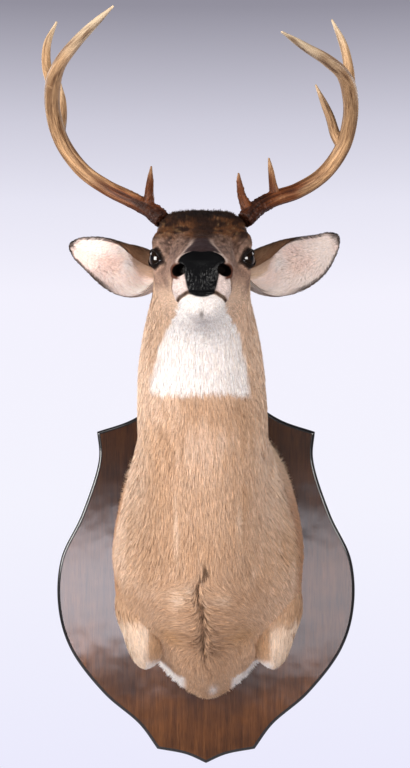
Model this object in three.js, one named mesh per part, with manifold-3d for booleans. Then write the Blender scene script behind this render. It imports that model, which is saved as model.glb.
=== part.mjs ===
// A whitetail buck's shoulder mount: head, neck and shoulders on a shield-shaped wooden board.
// Millimetres, +Z up. The back of the board lies on Y = 0 and the buck faces -Y, so +X is on its left.
// The origin is on the back of the board, on its middle line, at the height where it is widest.
import * as THREE from "three";
import { mergeVertices } from "three/addons/utils/BufferGeometryUtils.js";
import Module from "manifold-3d";

const wasm = await Module();
wasm.setup();

// ---- Driving dimensions ----

const GAP = 0.3; // left between neighbouring pieces
const BOARD = {
  thick: 20,
  edge: 5.5, // the rounded edge
  shoulder: [183.5, 259.5], // the pointed upper corners
  side: [[180.5, 214], [209, 122], [244.5, 45], [249, -35], [229, -105], [172, -181], [112, -233]],
  foot: [82, -274],
  tip: -298,
  crown: [67, 318], // where the hollow of the top edge ends
  crown_hollow: 9,
  peak: 332,
};
const HANGER = { wide: 34, tall: 90, thick: 2, pocket: 11, z: 180, head: 7, slot: 3.5, drop: 14 };
const SCREW = { radius: 4.5, rise: 1.5, z: 36 }; // the heads of the plate's screws, rising from it

// Cross-sections of the body from the board to the nose. Each lies in the plane through a point of the
// back line and a point of the belly line, given as [y, z]. lean is how far it stands to the left, half
// the half-width, and widest the share of the way down where that is reached. crown and keel say how
// square the parts above and below that are: 2 is an ellipse, less is pointed and more is boxy.
const SECTIONS = [
  { top: [-20.4, 282], bottom: [-20.4, -187], lean: 3, half: 151, widest: 0.5, crown: 2.4, keel: 1.6 },
  { top: [-48, 314], bottom: [-96, -152], lean: 4, half: 157, widest: 0.54, crown: 1.85, keel: 1.7 },
  { top: [-82, 355], bottom: [-172, -100], lean: 2, half: 147, widest: 0.6, crown: 1.5, keel: 1.8 },
  { top: [-116, 396], bottom: [-240, -38], lean: -3, half: 125, widest: 0.58, crown: 1.6, keel: 1.9 },
  { top: [-149, 433], bottom: [-280, 34], lean: -5, half: 104, widest: 0.55, crown: 1.8, keel: 2.1 },
  { top: [-180, 467], bottom: [-302, 116], lean: -5, half: 100, widest: 0.5, crown: 2.0, keel: 2.2 },
  { top: [-210, 499], bottom: [-318, 202], lean: -7, half: 96.5, widest: 0.5, crown: 2.0, keel: 2.2 },
  { top: [-238, 527], bottom: [-331, 284], lean: -8, half: 86, widest: 0.5, crown: 2.0, keel: 2.2 },
  { top: [-264, 552], bottom: [-342, 342], lean: -8, half: 75, widest: 0.5, crown: 2.1, keel: 2.3 },
  { top: [-292, 574], bottom: [-354, 388], lean: -7, half: 71.5, widest: 0.46, crown: 2.5, keel: 2.2 },
  { top: [-326, 591], bottom: [-374, 411], lean: -6, half: 71, widest: 0.4, crown: 3.0, keel: 2.1 },
  { top: [-362, 584], bottom: [-404, 420], lean: -6, half: 69, widest: 0.36, crown: 2.9, keel: 1.9 },
  { top: [-400, 565], bottom: [-436, 424], lean: -6, half: 59, widest: 0.36, crown: 2.5, keel: 1.9 },
  { top: [-440, 548], bottom: [-468, 424], lean: -6, half: 47.5, widest: 0.4, crown: 2.3, keel: 1.9 },
  { top: [-488, 535], bottom: [-506, 422], lean: -6, half: 38, widest: 0.44, crown: 2.2, keel: 2.2 },
  { top: [-532, 526], bottom: [-534, 420], lean: -6, half: 36, widest: 0.42, crown: 2.4, keel: 2.5 },
  { top: [-560, 519], bottom: [-561, 423], lean: -6, half: 37, widest: 0.36, crown: 2.6, keel: 2.4 },
  { top: [-579, 511], bottom: [-577, 432], lean: -6, half: 34, widest: 0.32, crown: 2.6, keel: 2.1 },
  { top: [-589, 500], bottom: [-585, 448], lean: -6, half: 26, widest: 0.3, crown: 2.6, keel: 1.9 },
];
const NOSE_END = [-6, -592, 482];

// Where the body is parted: across it in the plane of a section, or of a place between two of them,
// and along the mouth and round the nose pad in planes through two points of the side view, [y, z].
const NECK_BASE = 3.5;
const HEAD_BACK = 9.2;
const MUZZLE_BACK = 13;
const MOUTH = { front: [-583, 459], back: [-500, 440], corner: -505 };
const NOSE = { above: [-556, 530], below: [-576, 440] };

// Swellings and hollows of both sides: near at, the surface moves by push, fading out over reach.
const SWELLS = {
  brow: { at: [60, -388, 546], reach: 20, push: [8, -5, 3] },
  tear_pit: { at: [54, -420, 520], reach: 19, push: [-8, 3, 0] },
  cheekbone: { at: [66, -392, 486], reach: 26, push: [4, 0, 0] },
  jaw_muscle: { at: [62, -360, 440], reach: 36, push: [6, -2, 0] },
  temple: { at: [72, -334, 540], reach: 22, push: [-4, 0, 0] },
  forehead_groove: { at: [0, -372, 592], reach: 26, push: [0, 0, -4] },
  antler_seat: { at: [52, -334, 590], reach: 22, push: [2, 0, 5] },
  nostril_wing: { at: [34, -570, 490], reach: 13, push: [5, -1, 3] },
  upper_lip: { at: [33, -562, 466], reach: 13, push: [4, -1, -2] },
  chin_side: { at: [30, -548, 434], reach: 15, push: [-3, 0, 0] },
  shoulder_point: { at: [118, -168, 40], reach: 62, push: [7, -12, 0] },
  brisket_side: { at: [62, -168, -78], reach: 46, push: [-4, 10, 6] },
};

const EYE = { at: [58.5, -389, 519], radius: 17.5 };

// Each ear is a shell curled round a line from root to tip. It opens towards face, and its two rims
// stand at these angles from its back: the front rim is curled over near the root and opens to the tip.
const EARS = {
  left: { line: [[66, -303, 508], [112, -322, 509], [160, -327, 526], [203, -308, 560]] },
  right: { line: [[66, -303, 508], [112, -322, 508], [152, -326, 527], [197, -308, 547]] },
};
const EAR = {
  face: [0.2, -0.97, -0.1],
  half: [26, 35, 40, 41, 38, 31, 21, 12], // half the height of the ear, from root to tip
  deep: [27, 30, 28, 25, 20, 14, 8, 2.5], // how far it is cupped
  front_rim: [178, 170, 150, 126, 104, 94, 90, 88],
  back_rim: [178, 140, 96, 88, 86, 86, 88, 88],
  wall: [22, 10, 6, 5, 4.6, 4.2, 3.4, 1.6],
};

// Each antler: the beam's line from burr to tip, and each tine's line from inside the beam to its tip.
const ANTLERS = {
  left: {
    beam: [
      [56, -340, 580], [77, -323, 601], [100, -308, 615], [138, -291, 630], [177, -284, 656], [204, -294, 694],
      [213, -322, 734], [208, -362, 763], [195, -402, 780], [168, -452, 790], [136, -502, 796], [99, -560, 804],
    ],
    brow_tine: [[60, -332, 599], [53, -336, 614], [49, -344, 630], [47, -352, 647]],
    second_brow_tine: [[103, -306, 617], [99, -312, 635], [96, -322, 653], [92, -334, 672]],
    back_tine: [[205, -296, 694], [194, -292, 712], [185, -287, 742], [165, -278, 791]],
    front_tine: [[206, -376, 772], [206, -367, 798], [200, -360, 830], [183, -352, 871]],
    forks: [0.4, 0.66],
  },
  right: {
    beam: [
      [-64, -340, 580], [-83, -324, 597], [-104, -310, 610], [-148, -290, 634], [-185, -284, 661],
      [-214, -293, 699], [-226, -326, 744], [-220, -374, 778], [-207, -412, 794], [-182, -462, 810],
      [-156, -510, 822], [-122, -570, 835],
    ],
    brow_tine: [[-86, -322, 601], [-84, -330, 623], [-82, -340, 640], [-80, -352, 657]],
    back_tine: [[-220, -300, 710], [-216, -290, 737], [-216, -284, 763], [-220, -276, 795]],
    front_tine: [[-222, -372, 774], [-231, -363, 800], [-231, -356, 834], [-218, -348, 869]],
    forks: [0.42, 0.67],
  },
};
const BEAM_RADII = [15, 13, 12, 11.5, 11.5, 11.5, 11.5, 11.5, 9.5, 8.5, 7, 5, 1.8];
const BURR = { rise: 0.2, share: 0.022, spread: 0.014 };
const TINE_RADII = {
  brow_tine: [9, 6.5, 4.6, 1.8],
  second_brow_tine: [9, 6.2, 4.4, 1.8],
  back_tine: [9, 7.5, 5.8, 1.8],
  front_tine: [9, 7, 5.5, 1.8],
};

// The stubs of the forelegs: a line down from the shoulder, and the half-width and half-depth along it.
const LEG = {
  line: [[104, -98, 40], [113, -112, -20], [105, -118, -72], [103, -112, -122]],
  lean: 5,
  wide: [22, 37, 32, 18],
  deep: [30, 48, 46, 22],
};

const FINE = { body: 28, beam: 9, tine: 7, ear: 11, earRows: 11, leg: 14, eye: 14 };

// ---- Materials ----

const finish = (color, roughness, metalness = 0) => new THREE.MeshStandardMaterial({ color, roughness, metalness });
const MATERIALS = {
  coat: finish(0xc39a73, 0.9),
  face: finish(0x8b6f58, 0.9),
  white: finish(0xe9e0d8, 0.9),
  nose: finish(0x1c1b1d, 0.35),
  eye: finish(0x120c08, 0.05),
  ear: finish(0xb79c88, 0.9),
  antler: finish(0xb08a55, 0.5),
  antler_base: finish(0x5d3a22, 0.6),
  board: finish(0x4b3322, 0.35),
  steel: finish(0x9a9a9c, 0.4, 1),
};

// ---- Tools ----

const vec = (p) => new THREE.Vector3(p[0], p[1], p[2]);
const lerp = (a, b, t) => a + (b - a) * t;

// The value at place (0 to length - 1) of a smooth line through the numbers of list.
function along(list, place) {
  const last = list.length - 1;
  const i = Math.min(Math.floor(place), last - 1);
  const t = place - i;
  const [a, b, c, d] = [Math.max(i - 1, 0), i, i + 1, Math.min(i + 2, last)].map((k) => list[k]);
  const m0 = (c - a) / 2;
  const m1 = (d - b) / 2;
  return (2 * t ** 3 - 3 * t ** 2 + 1) * b + (t ** 3 - 2 * t ** 2 + t) * m0
    + (3 * t ** 2 - 2 * t ** 3) * c + (t ** 3 - t ** 2) * m1;
}

function solid(geometry) {
  const bare = geometry.clone();
  for (const name of Object.keys(bare.attributes)) {
    if (name !== "position") bare.deleteAttribute(name);
  }
  const merged = mergeVertices(bare, 1e-3);
  const vertProperties = merged.attributes.position.array;
  return new wasm.Manifold(new wasm.Mesh({ numProp: 3, vertProperties, triVerts: new Uint32Array(merged.index.array) }));
}

function geometryOf(made) {
  const mesh = made.getMesh();
  const geometry = new THREE.BufferGeometry();
  geometry.setAttribute("position", new THREE.BufferAttribute(mesh.vertProperties, 3));
  geometry.setIndex(new THREE.BufferAttribute(mesh.triVerts, 1));
  geometry.computeVertexNormals();
  return geometry;
}

const group = new THREE.Group();
function add(name, made, material) {
  const mesh = new THREE.Mesh(geometryOf(made), material);
  mesh.name = name;
  group.add(mesh);
}

function geometryFrom(points, triangles) {
  const geometry = new THREE.BufferGeometry().setFromPoints(points);
  geometry.setIndex(triangles);
  return geometry;
}

// A closed surface over rings of equal length, with a fan at each end.
function loft(rings) {
  const n = rings[0].length;
  const points = rings.flat();
  const middle = (ring) => ring.reduce((sum, p) => sum.add(p), new THREE.Vector3()).divideScalar(n);
  const first = points.push(middle(rings[0])) - 1;
  const last = points.push(middle(rings.at(-1))) - 1;
  const end = (rings.length - 1) * n;
  const triangles = [];
  for (let j = 0; j < n; j++) {
    const k = (j + 1) % n;
    for (let i = 0; i < rings.length - 1; i++) {
      const [a, b, c, d] = [i * n + j, i * n + k, (i + 1) * n + k, (i + 1) * n + j];
      triangles.push(a, b, c, a, c, d);
    }
    triangles.push(first, k, j, last, end + j, end + k);
  }
  return geometryFrom(points, triangles);
}

// A closed shell from matching rows of outer and inner points.
function shell(outer, inner) {
  const rows = outer.length;
  const n = outer[0].length;
  const at = (side, i, j) => (side * rows + i) * n + j;
  const triangles = [];
  const quad = (a, b, c, d) => triangles.push(a, b, c, a, c, d);
  for (let i = 0; i < rows - 1; i++) {
    for (let j = 0; j < n - 1; j++) {
      quad(at(0, i, j), at(0, i, j + 1), at(0, i + 1, j + 1), at(0, i + 1, j));
      quad(at(1, i, j), at(1, i + 1, j), at(1, i + 1, j + 1), at(1, i, j + 1));
    }
    quad(at(0, i, 0), at(0, i + 1, 0), at(1, i + 1, 0), at(1, i, 0));
    quad(at(0, i, n - 1), at(1, i, n - 1), at(1, i + 1, n - 1), at(0, i + 1, n - 1));
  }
  for (let j = 0; j < n - 1; j++) {
    quad(at(0, 0, j), at(1, 0, j), at(1, 0, j + 1), at(0, 0, j + 1));
    quad(at(0, rows - 1, j), at(0, rows - 1, j + 1), at(1, rows - 1, j + 1), at(1, rows - 1, j));
  }
  return geometryFrom([...outer.flat(), ...inner.flat()], triangles);
}

// A round bar along line between the shares from and to of its length, radii being spread evenly along it.
function bar(line, radii, { sides, steps, from = 0, to = 1, grow = 0, swell = () => 1 }) {
  const curve = new THREE.CatmullRomCurve3(line.map(vec), false, "centripetal");
  const frames = curve.computeFrenetFrames(200, false);
  const rings = Array.from({ length: steps + 1 }, (_, i) => {
    const share = lerp(from, to, i / steps);
    const centre = curve.getPointAt(share);
    const frame = Math.round(share * 200);
    const radius = along(radii, share * (radii.length - 1)) * swell(share) + grow;
    return Array.from({ length: sides }, (__, j) => {
      const angle = (2 * Math.PI * j) / sides;
      return centre.clone()
        .addScaledVector(frames.normals[frame], radius * Math.cos(angle))
        .addScaledVector(frames.binormals[frame], radius * Math.sin(angle));
    });
  });
  return solid(loft(rings));
}

// The part of a body on the far side of the plane through two points of the side view, [y, z]: the
// side on the left of the way from the first to the second, seen with -Y to the left and +Z up.
function beyond(made, [y1, z1], [y2, z2], shift = 0) {
  const size = 2000;
  const half = new THREE.BoxGeometry(size, size, size).translate(0, -size / 2 - shift, 0);
  half.rotateX(Math.atan2(y2 - y1, z2 - z1) * -1);
  half.translate(0, y1, z1);
  return made.intersect(solid(half));
}

// ---- Body: one smooth surface, parted by thin cuts ----

function swollen(point) {
  const moved = point.clone();
  for (const { at, reach, push } of Object.values(SWELLS)) {
    for (const side of at[0] === 0 ? [1] : [1, -1]) {
      const far = point.distanceTo(new THREE.Vector3(at[0] * side, at[1], at[2]));
      moved.addScaledVector(new THREE.Vector3(push[0] * side, push[1], push[2]), Math.exp(-((far / reach) ** 2)));
    }
  }
  return moved;
}

function sectionAt(place) {
  const value = (pick) => along(SECTIONS.map(pick), place);
  return {
    top: [value((s) => s.top[0]), value((s) => s.top[1])],
    bottom: [value((s) => s.bottom[0]), value((s) => s.bottom[1])],
    ...Object.fromEntries(["lean", "half", "widest", "crown", "keel"].map((key) => [key, value((s) => s[key])])),
  };
}

function bodyRing(place, grow) {
  const { top, bottom, lean, half, widest, crown, keel } = sectionAt(place);
  const tall = Math.hypot(top[0] - bottom[0], top[1] - bottom[1]);
  return Array.from({ length: FINE.body }, (_, j) => {
    const angle = (2 * Math.PI * j) / FINE.body;
    const [up, out] = [Math.cos(angle), -Math.sin(angle)];
    const power = 2 / (up > 0 ? crown : keel);
    const rise = Math.abs(up) ** power * (1 + grow / tall / widest);
    const down = up > 0 ? widest * (1 - rise) : widest + (1 - widest) * rise;
    const x = (half + grow) * Math.sign(out) * Math.abs(out) ** power;
    const point = swollen(new THREE.Vector3(x, lerp(top[0], bottom[0], down), lerp(top[1], bottom[1], down)));
    return point.setX(point.x + lean);
  });
}

function wholeBody(grow = 0) {
  const last = SECTIONS.length - 1;
  const places = [];
  for (let place = 0; place < last; place += place < 8 ? 1 / 2 : 1 / 3) places.push(place);
  const rings = [...places, last].map((place) => bodyRing(place, grow));
  rings.push(rings.at(-1).map((p) => p.clone().lerp(vec(NOSE_END), 0.55)));
  return solid(loft(rings));
}

function across(made, place, ahead) {
  const { top, bottom } = sectionAt(place);
  return ahead ? beyond(made, bottom, top, GAP / 2) : beyond(made, top, bottom, GAP / 2);
}

function bodyPieces(body) {
  const { front, back, corner } = MOUTH;
  const muzzleFront = across(body, MUZZLE_BACK, true);
  const jaw = beyond(beyond(muzzleFront, back, front, GAP / 2), [corner, 0], [corner, 1], GAP / 2);
  const aboveMouth = beyond(muzzleFront, front, back, GAP / 2);
  const behindJaw = beyond(muzzleFront, [corner, 1], [corner, 0], GAP / 2);
  const muzzle = aboveMouth.add(behindJaw);
  return {
    shoulders: across(body, NECK_BASE, false),
    neck: across(across(body, NECK_BASE, true), HEAD_BACK, false),
    head: across(across(body, HEAD_BACK, true), MUZZLE_BACK, false),
    muzzle: beyond(muzzle, NOSE.above, NOSE.below, GAP / 2),
    nose: beyond(muzzle, NOSE.below, NOSE.above, GAP / 2),
    lower_jaw: jaw,
  };
}

// ---- Eyes, ears and legs ----

function eyeball(side, lean, grow = 0) {
  const ball = new THREE.SphereGeometry(EYE.radius + grow, FINE.eye, Math.round(FINE.eye * 0.6));
  return solid(ball.translate(EYE.at[0] * side + lean, EYE.at[1], EYE.at[2]));
}

// One row of points across an ear, from its front rim round its back to its back rim.
function earRow(line, share, inward) {
  const value = (list) => along(list, share * (list.length - 1));
  const axis = line.getTangent(share);
  const face = vec(EAR.face).addScaledVector(axis, -vec(EAR.face).dot(axis)).normalize();
  const up = new THREE.Vector3().crossVectors(face, axis).normalize();
  const [front, back] = [value(EAR.front_rim), value(EAR.back_rim)].map(THREE.MathUtils.degToRad);
  const wall = inward ? value(EAR.wall) : 0;
  return Array.from({ length: FINE.ear }, (_, j) => {
    const angle = lerp(front, -back, j / (FINE.ear - 1));
    const height = Math.max(value(EAR.half) - wall, 0.6) * Math.sin(angle);
    const depth = Math.max(value(EAR.deep) - wall, 0.4) * Math.cos(angle);
    return line.getPoint(share).addScaledVector(up, height).addScaledVector(face, -depth);
  });
}

function earShell(name, side, lean) {
  const line = new THREE.CatmullRomCurve3(EARS[name].line.map(vec));
  const rows = (inward) => Array.from({ length: FINE.earRows }, (_, i) => earRow(line, i / (FINE.earRows - 1), inward));
  const placed = (row) => row.map((p) => new THREE.Vector3(p.x * side + lean, p.y, p.z));
  const [outer, inner] = [rows(false).map(placed), rows(true).map(placed)];
  return solid(side > 0 ? shell(inner, outer) : shell(outer, inner));
}

function legStub(side) {
  const line = new THREE.CatmullRomCurve3(LEG.line.map(vec));
  const steps = 8;
  const rings = Array.from({ length: steps + 1 }, (_, i) => {
    const centre = line.getPoint(i / steps);
    const value = (list) => along(list, (i / steps) * (list.length - 1));
    return Array.from({ length: FINE.leg }, (__, j) => {
      const angle = (-2 * Math.PI * j) / FINE.leg;
      const x = centre.x * side + LEG.lean + value(LEG.wide) * Math.cos(angle);
      return new THREE.Vector3(x, centre.y + value(LEG.deep) * Math.sin(angle), centre.z);
    });
  });
  return solid(loft(rings));
}

// ---- Antlers ----

function beamLength(name, from, to, steps, grow = 0) {
  const joint = GAP / 1000; // half a gap, as a share of the beam's length
  const swell = (share) => 1 + BURR.rise * Math.exp(-(((share - BURR.share) / BURR.spread) ** 2));
  const ends = { from: from > 0 ? from + joint : 0, to: to < 1 ? to - joint : 1 };
  return bar(ANTLERS[name].beam, BEAM_RADII, { sides: FINE.beam, steps, ...ends, grow, swell });
}

function antlerPieces(name, grownBody) {
  const [first, second] = ANTLERS[name].forks;
  const lengths = { base: [0, first, 12], middle: [first, second, 7], tip: [second, 1, 9] };
  const pieces = {};
  for (const [part, span] of Object.entries(lengths)) {
    pieces[`antler_${name}_${part}`] = beamLength(name, ...span).subtract(grownBody);
  }
  for (const each of Object.keys(TINE_RADII).filter((key) => key in ANTLERS[name])) {
    let tine = bar(ANTLERS[name][each], TINE_RADII[each], { sides: FINE.tine, steps: 7 }).subtract(grownBody);
    for (const span of Object.values(lengths)) tine = tine.subtract(beamLength(name, ...span, GAP));
    pieces[`antler_${name}_${each}`] = tine;
  }
  return pieces;
}

// ---- Board ----

function boardOutline() {
  const { shoulder, side, foot, tip, crown, crown_hollow: hollow, peak } = BOARD;
  const halfway = [lerp(crown[0], shoulder[0], 0.5), lerp(crown[1], shoulder[1], 0.5) - hollow];
  const line = (points, parts) => new THREE.SplineCurve(points.map((p) => new THREE.Vector2(...p))).getPoints(parts);
  const halfOutline = [
    ...line([[0, peak], [crown[0] * 0.6, lerp(peak, crown[1], 0.45)], crown], 5),
    ...line([crown, halfway, shoulder], 6).slice(1),
    ...line([shoulder, ...side, foot], 26).slice(1),
    ...line([foot, [foot[0] * 0.4, lerp(tip, foot[1], 0.4)], [0, tip]], 4).slice(1),
  ];
  const otherHalf = halfOutline.slice(1, -1).map((p) => new THREE.Vector2(-p.x, p.y)).reverse();
  return new THREE.Shape([...halfOutline, ...otherHalf]);
}

// From the XY plane to the XZ plane, with the thickness going towards -Y.
const upright = (geometry) => geometry.rotateX(Math.PI / 2);

function board() {
  const { thick, edge } = BOARD;
  const panel = new THREE.ExtrudeGeometry(boardOutline(), {
    depth: thick - edge, bevelThickness: edge, bevelSize: edge, bevelOffset: -edge, bevelSegments: 3, steps: 1,
  });
  const size = 1000;
  const behind = new THREE.BoxGeometry(size, 2 * edge, size).translate(0, edge, 0);
  const pocket = new THREE.BoxGeometry(HANGER.wide + 2 * GAP, 2 * HANGER.pocket, HANGER.tall + 2 * GAP);
  return solid(upright(panel)).subtract(solid(behind)).subtract(solid(pocket.translate(0, 0, HANGER.z)));
}

// The keyhole plate let into the back of the board, by which it hangs on a screw in the wall.
function hanger() {
  const [x, z] = [HANGER.wide / 2, HANGER.tall / 2];
  const plate = new THREE.Shape();
  plate.moveTo(-x, -z).lineTo(x, -z).lineTo(x, z).lineTo(-x, z);
  const hole = new THREE.Path();
  const lean = Math.asin(HANGER.slot / HANGER.head);
  hole.absarc(0, -HANGER.drop, HANGER.head, Math.PI / 2 + lean, (5 * Math.PI) / 2 - lean);
  hole.absarc(0, HANGER.drop, HANGER.slot, 0, Math.PI);
  plate.holes.push(hole);
  const made = new THREE.ExtrudeGeometry(plate, { depth: HANGER.thick, bevelEnabled: false, curveSegments: 10 });
  return solid(upright(made).translate(0, -SCREW.rise, HANGER.z));
}

function hangerScrew(z) {
  const head = new THREE.CylinderGeometry(SCREW.radius, SCREW.radius, SCREW.rise - GAP, 16);
  return solid(head.translate(0, -(SCREW.rise - GAP) / 2, HANGER.z + z));
}

// ---- Assembly ----

const SIDES = { left: 1, right: -1 };
const headLean = SECTIONS[11].lean;
const grownBody = wholeBody(GAP);
const flesh = bodyPieces(wholeBody());
const antlers = {};
for (const [name, side] of Object.entries(SIDES)) {
  flesh.head = flesh.head.subtract(eyeball(side, headLean, GAP));
  flesh[`ear_${name}`] = earShell(name, side, headLean).subtract(grownBody);
  flesh[`leg_${name}`] = legStub(side).subtract(grownBody);
  add(`eye_${name}`, eyeball(side, headLean), MATERIALS.eye);
  Object.assign(antlers, antlerPieces(name, grownBody));
}
const FLESH_MATERIALS = {
  head: MATERIALS.face,
  muzzle: MATERIALS.face,
  nose: MATERIALS.nose,
  lower_jaw: MATERIALS.white,
  ear_left: MATERIALS.ear,
  ear_right: MATERIALS.ear,
};
for (const [name, made] of Object.entries(flesh)) {
  add(name, made, FLESH_MATERIALS[name] ?? MATERIALS.coat);
}
for (const [name, made] of Object.entries(antlers)) {
  add(name, made, name.endsWith("base") ? MATERIALS.antler_base : MATERIALS.antler);
}
add("board", board(), MATERIALS.board);
add("hanger", hanger(), MATERIALS.steel);
add("hanger_screw_upper", hangerScrew(SCREW.z), MATERIALS.steel);
add("hanger_screw_lower", hangerScrew(-SCREW.z), MATERIALS.steel);

export default group;
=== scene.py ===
"""The looks of a whitetail buck's shoulder mount: one skin under a coat of fine tufts, glass eyes, antlers
and a shield board of dark stained wood. Shapes are worked out in millimetres, in the frame's axes: +Z up,
the back of the board on Y = 0, the buck facing -Y and its left at +X."""
import math

import bmesh
import bpy
import numpy as np
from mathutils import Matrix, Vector


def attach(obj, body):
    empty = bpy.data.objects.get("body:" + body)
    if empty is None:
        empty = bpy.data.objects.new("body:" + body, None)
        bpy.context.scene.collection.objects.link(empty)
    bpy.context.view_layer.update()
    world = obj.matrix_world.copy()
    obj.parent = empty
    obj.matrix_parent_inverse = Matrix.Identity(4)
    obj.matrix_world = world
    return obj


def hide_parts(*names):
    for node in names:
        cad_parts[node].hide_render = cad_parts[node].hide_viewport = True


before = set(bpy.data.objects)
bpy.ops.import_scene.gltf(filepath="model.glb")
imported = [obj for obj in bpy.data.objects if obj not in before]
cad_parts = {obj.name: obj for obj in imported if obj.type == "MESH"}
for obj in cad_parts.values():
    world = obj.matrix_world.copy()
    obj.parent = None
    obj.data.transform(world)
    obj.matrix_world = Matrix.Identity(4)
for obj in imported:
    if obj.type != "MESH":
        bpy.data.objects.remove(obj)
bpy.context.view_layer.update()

MM = 0.001
SEED = 20261123
SIDES = {"left": 1, "right": -1}  # the sign of X on each side

# ---- Named sizes, as in the frame's solids ----

# Cross-sections from the board to the nose, each in the plane through a point of the back line and a point of
# the belly line: their y and z, the lean to the left, the half-width, the share of the way down where that is
# reached, and how square the upper and the lower part are.
SECTIONS = np.array([
    (-20.4, 282, -20.4, -187, 3, 151, 0.50, 2.4, 1.6),
    (-48, 314, -96, -152, 4, 157, 0.54, 1.85, 1.7),
    (-82, 355, -172, -100, 2, 147, 0.60, 1.5, 1.8),
    (-116, 396, -240, -38, -3, 125, 0.58, 1.6, 1.9),
    (-149, 433, -280, 34, -5, 104, 0.55, 1.8, 2.1),
    (-180, 467, -302, 116, -5, 100, 0.50, 2.0, 2.2),
    (-210, 499, -318, 202, -7, 96.5, 0.50, 2.0, 2.2),
    (-238, 527, -331, 284, -8, 86, 0.50, 2.0, 2.2),
    (-264, 552, -342, 342, -8, 75, 0.50, 2.1, 2.3),
    (-292, 574, -354, 388, -7, 71.5, 0.46, 2.5, 2.2),
    (-326, 591, -374, 411, -6, 71, 0.40, 3.0, 2.1),
    (-362, 584, -404, 420, -6, 69, 0.36, 2.9, 1.9),
    (-400, 565, -436, 424, -6, 59, 0.36, 2.5, 1.9),
    (-440, 548, -468, 424, -6, 47.5, 0.40, 2.3, 1.9),
    (-488, 535, -506, 422, -6, 38, 0.44, 2.2, 2.2),
    (-532, 526, -534, 420, -6, 36, 0.42, 2.4, 2.5),
    (-560, 519, -561, 423, -6, 37, 0.36, 2.6, 2.4),
    (-579, 511, -577, 432, -6, 34, 0.32, 2.6, 2.1),
    (-589, 500, -585, 448, -6, 26, 0.30, 2.6, 1.9),
])
NOSE_SECTION = len(SECTIONS) - 1
NOSE_END_Y = -592
HEAD_LEAN = -6.0

# Swellings and hollows of both sides: where, how far they reach, and the push at their middle.
SWELLS = [
    ((60, -388, 546), 20, (8, -5, 3)),  # brow
    ((54, -420, 520), 19, (-8, 3, 0)),  # pit in front of the eye
    ((66, -392, 486), 26, (4, 0, 0)),  # cheekbone
    ((62, -360, 440), 36, (6, -2, 0)),  # jaw muscle
    ((72, -334, 540), 22, (-4, 0, 0)),  # temple
    ((0, -372, 592), 26, (0, 0, -4)),  # groove of the forehead
    ((52, -334, 590), 22, (2, 0, 5)),  # seat of the antler
    ((34, -570, 490), 13, (5, -1, 3)),  # wing of the nostril
    ((33, -562, 466), 13, (4, -1, -2)),  # upper lip
    ((30, -548, 434), 15, (-3, 0, 0)),  # side of the chin
    ((118, -168, 40), 62, (7, -12, 0)),  # point of the shoulder
    ((62, -168, -78), 46, (-4, 10, 6)),  # side of the brisket
]

EYE = np.array([58.5, -389.0, 519.0])
EYE_R = 17.5
EYE_AXIS = (0.86, -0.50, 0.06)  # the way the left eye looks
EYE_OPENING = (16.5, 11.5)  # half its length and half its height

EAR_LINES = {
    "left": [(66, -303, 508), (112, -322, 509), (160, -327, 526), (203, -308, 560)],
    "right": [(66, -303, 508), (112, -322, 508), (152, -326, 527), (197, -308, 547)],
}
EAR_FACE = (0.2, -0.97, -0.1)
EAR_HALF = {"left": [26, 35, 40, 41, 38, 31, 21, 12], "right": [26, 35, 39, 38, 34, 28, 20, 11]}
EAR_DEEP = [27, 30, 28, 25, 20, 14, 8, 2.5]
EAR_FRONT_RIM = [178, 170, 150, 126, 104, 94, 90, 88]
EAR_BACK_RIM = [178, 140, 96, 88, 86, 86, 88, 88]
EAR_WALL = [7, 6, 5, 4, 3.2, 3.0, 2.6, 1.6]
EAR_INSET = 1.2

LEG_LINE = [(104, -98, 40), (113, -112, -20), (105, -118, -72), (103, -112, -122)]
LEG_WIDE = [22, 37, 32, 18]
LEG_DEEP = [30, 48, 46, 22]
LEG_LEAN = 5.0
LEG_INSET = 7.0
VALLEY = 34.0  # how wide the rounded valleys between the body and the legs are

BEAMS = {
    "left": [(56, -340, 580), (77, -323, 601), (100, -308, 615), (138, -291, 630), (177, -284, 656),
             (204, -294, 694), (213, -322, 734), (208, -362, 763), (195, -402, 780), (168, -452, 790),
             (136, -502, 796), (99, -560, 804)],
    "right": [(-64, -340, 580), (-83, -324, 597), (-104, -310, 610), (-148, -290, 634), (-185, -284, 661),
              (-214, -293, 699), (-226, -326, 744), (-220, -374, 778), (-207, -412, 794), (-182, -462, 810),
              (-156, -510, 822), (-122, -570, 835)],
}
BEAM_RADII = [12.5, 12, 11.8, 11.5, 11.5, 11.5, 11.5, 11.5, 9.5, 8.5, 7, 5, 1.8]
BURR_RISE, BURR_SHARE, BURR_SPREAD = 0.04, 0.022, 0.014
TINES = {
    "left": {
        "brow_tine": [(60, -332, 599), (53, -336, 614), (49, -344, 630), (47, -352, 647)],
        "second_brow_tine": [(103, -306, 617), (99, -312, 635), (96, -322, 653), (92, -334, 672)],
        "back_tine": [(205, -296, 694), (194, -292, 712), (185, -287, 742), (165, -278, 791)],
        "front_tine": [(206, -376, 772), (206, -367, 798), (200, -360, 830), (183, -352, 871)],
    },
    "right": {
        "brow_tine": [(-86, -322, 601), (-84, -330, 623), (-82, -340, 640), (-80, -352, 657)],
        "back_tine": [(-220, -300, 710), (-216, -290, 737), (-216, -284, 763), (-220, -276, 795)],
        "front_tine": [(-222, -372, 774), (-231, -363, 800), (-231, -356, 834), (-218, -348, 869)],
    },
}
TINE_RADII = {
    "brow_tine": [9, 6.5, 4.6, 1.8],
    "second_brow_tine": [9, 6.2, 4.4, 1.8],
    "back_tine": [9, 7.5, 5.8, 1.8],
    "front_tine": [9, 7, 5.5, 1.8],
}

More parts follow.
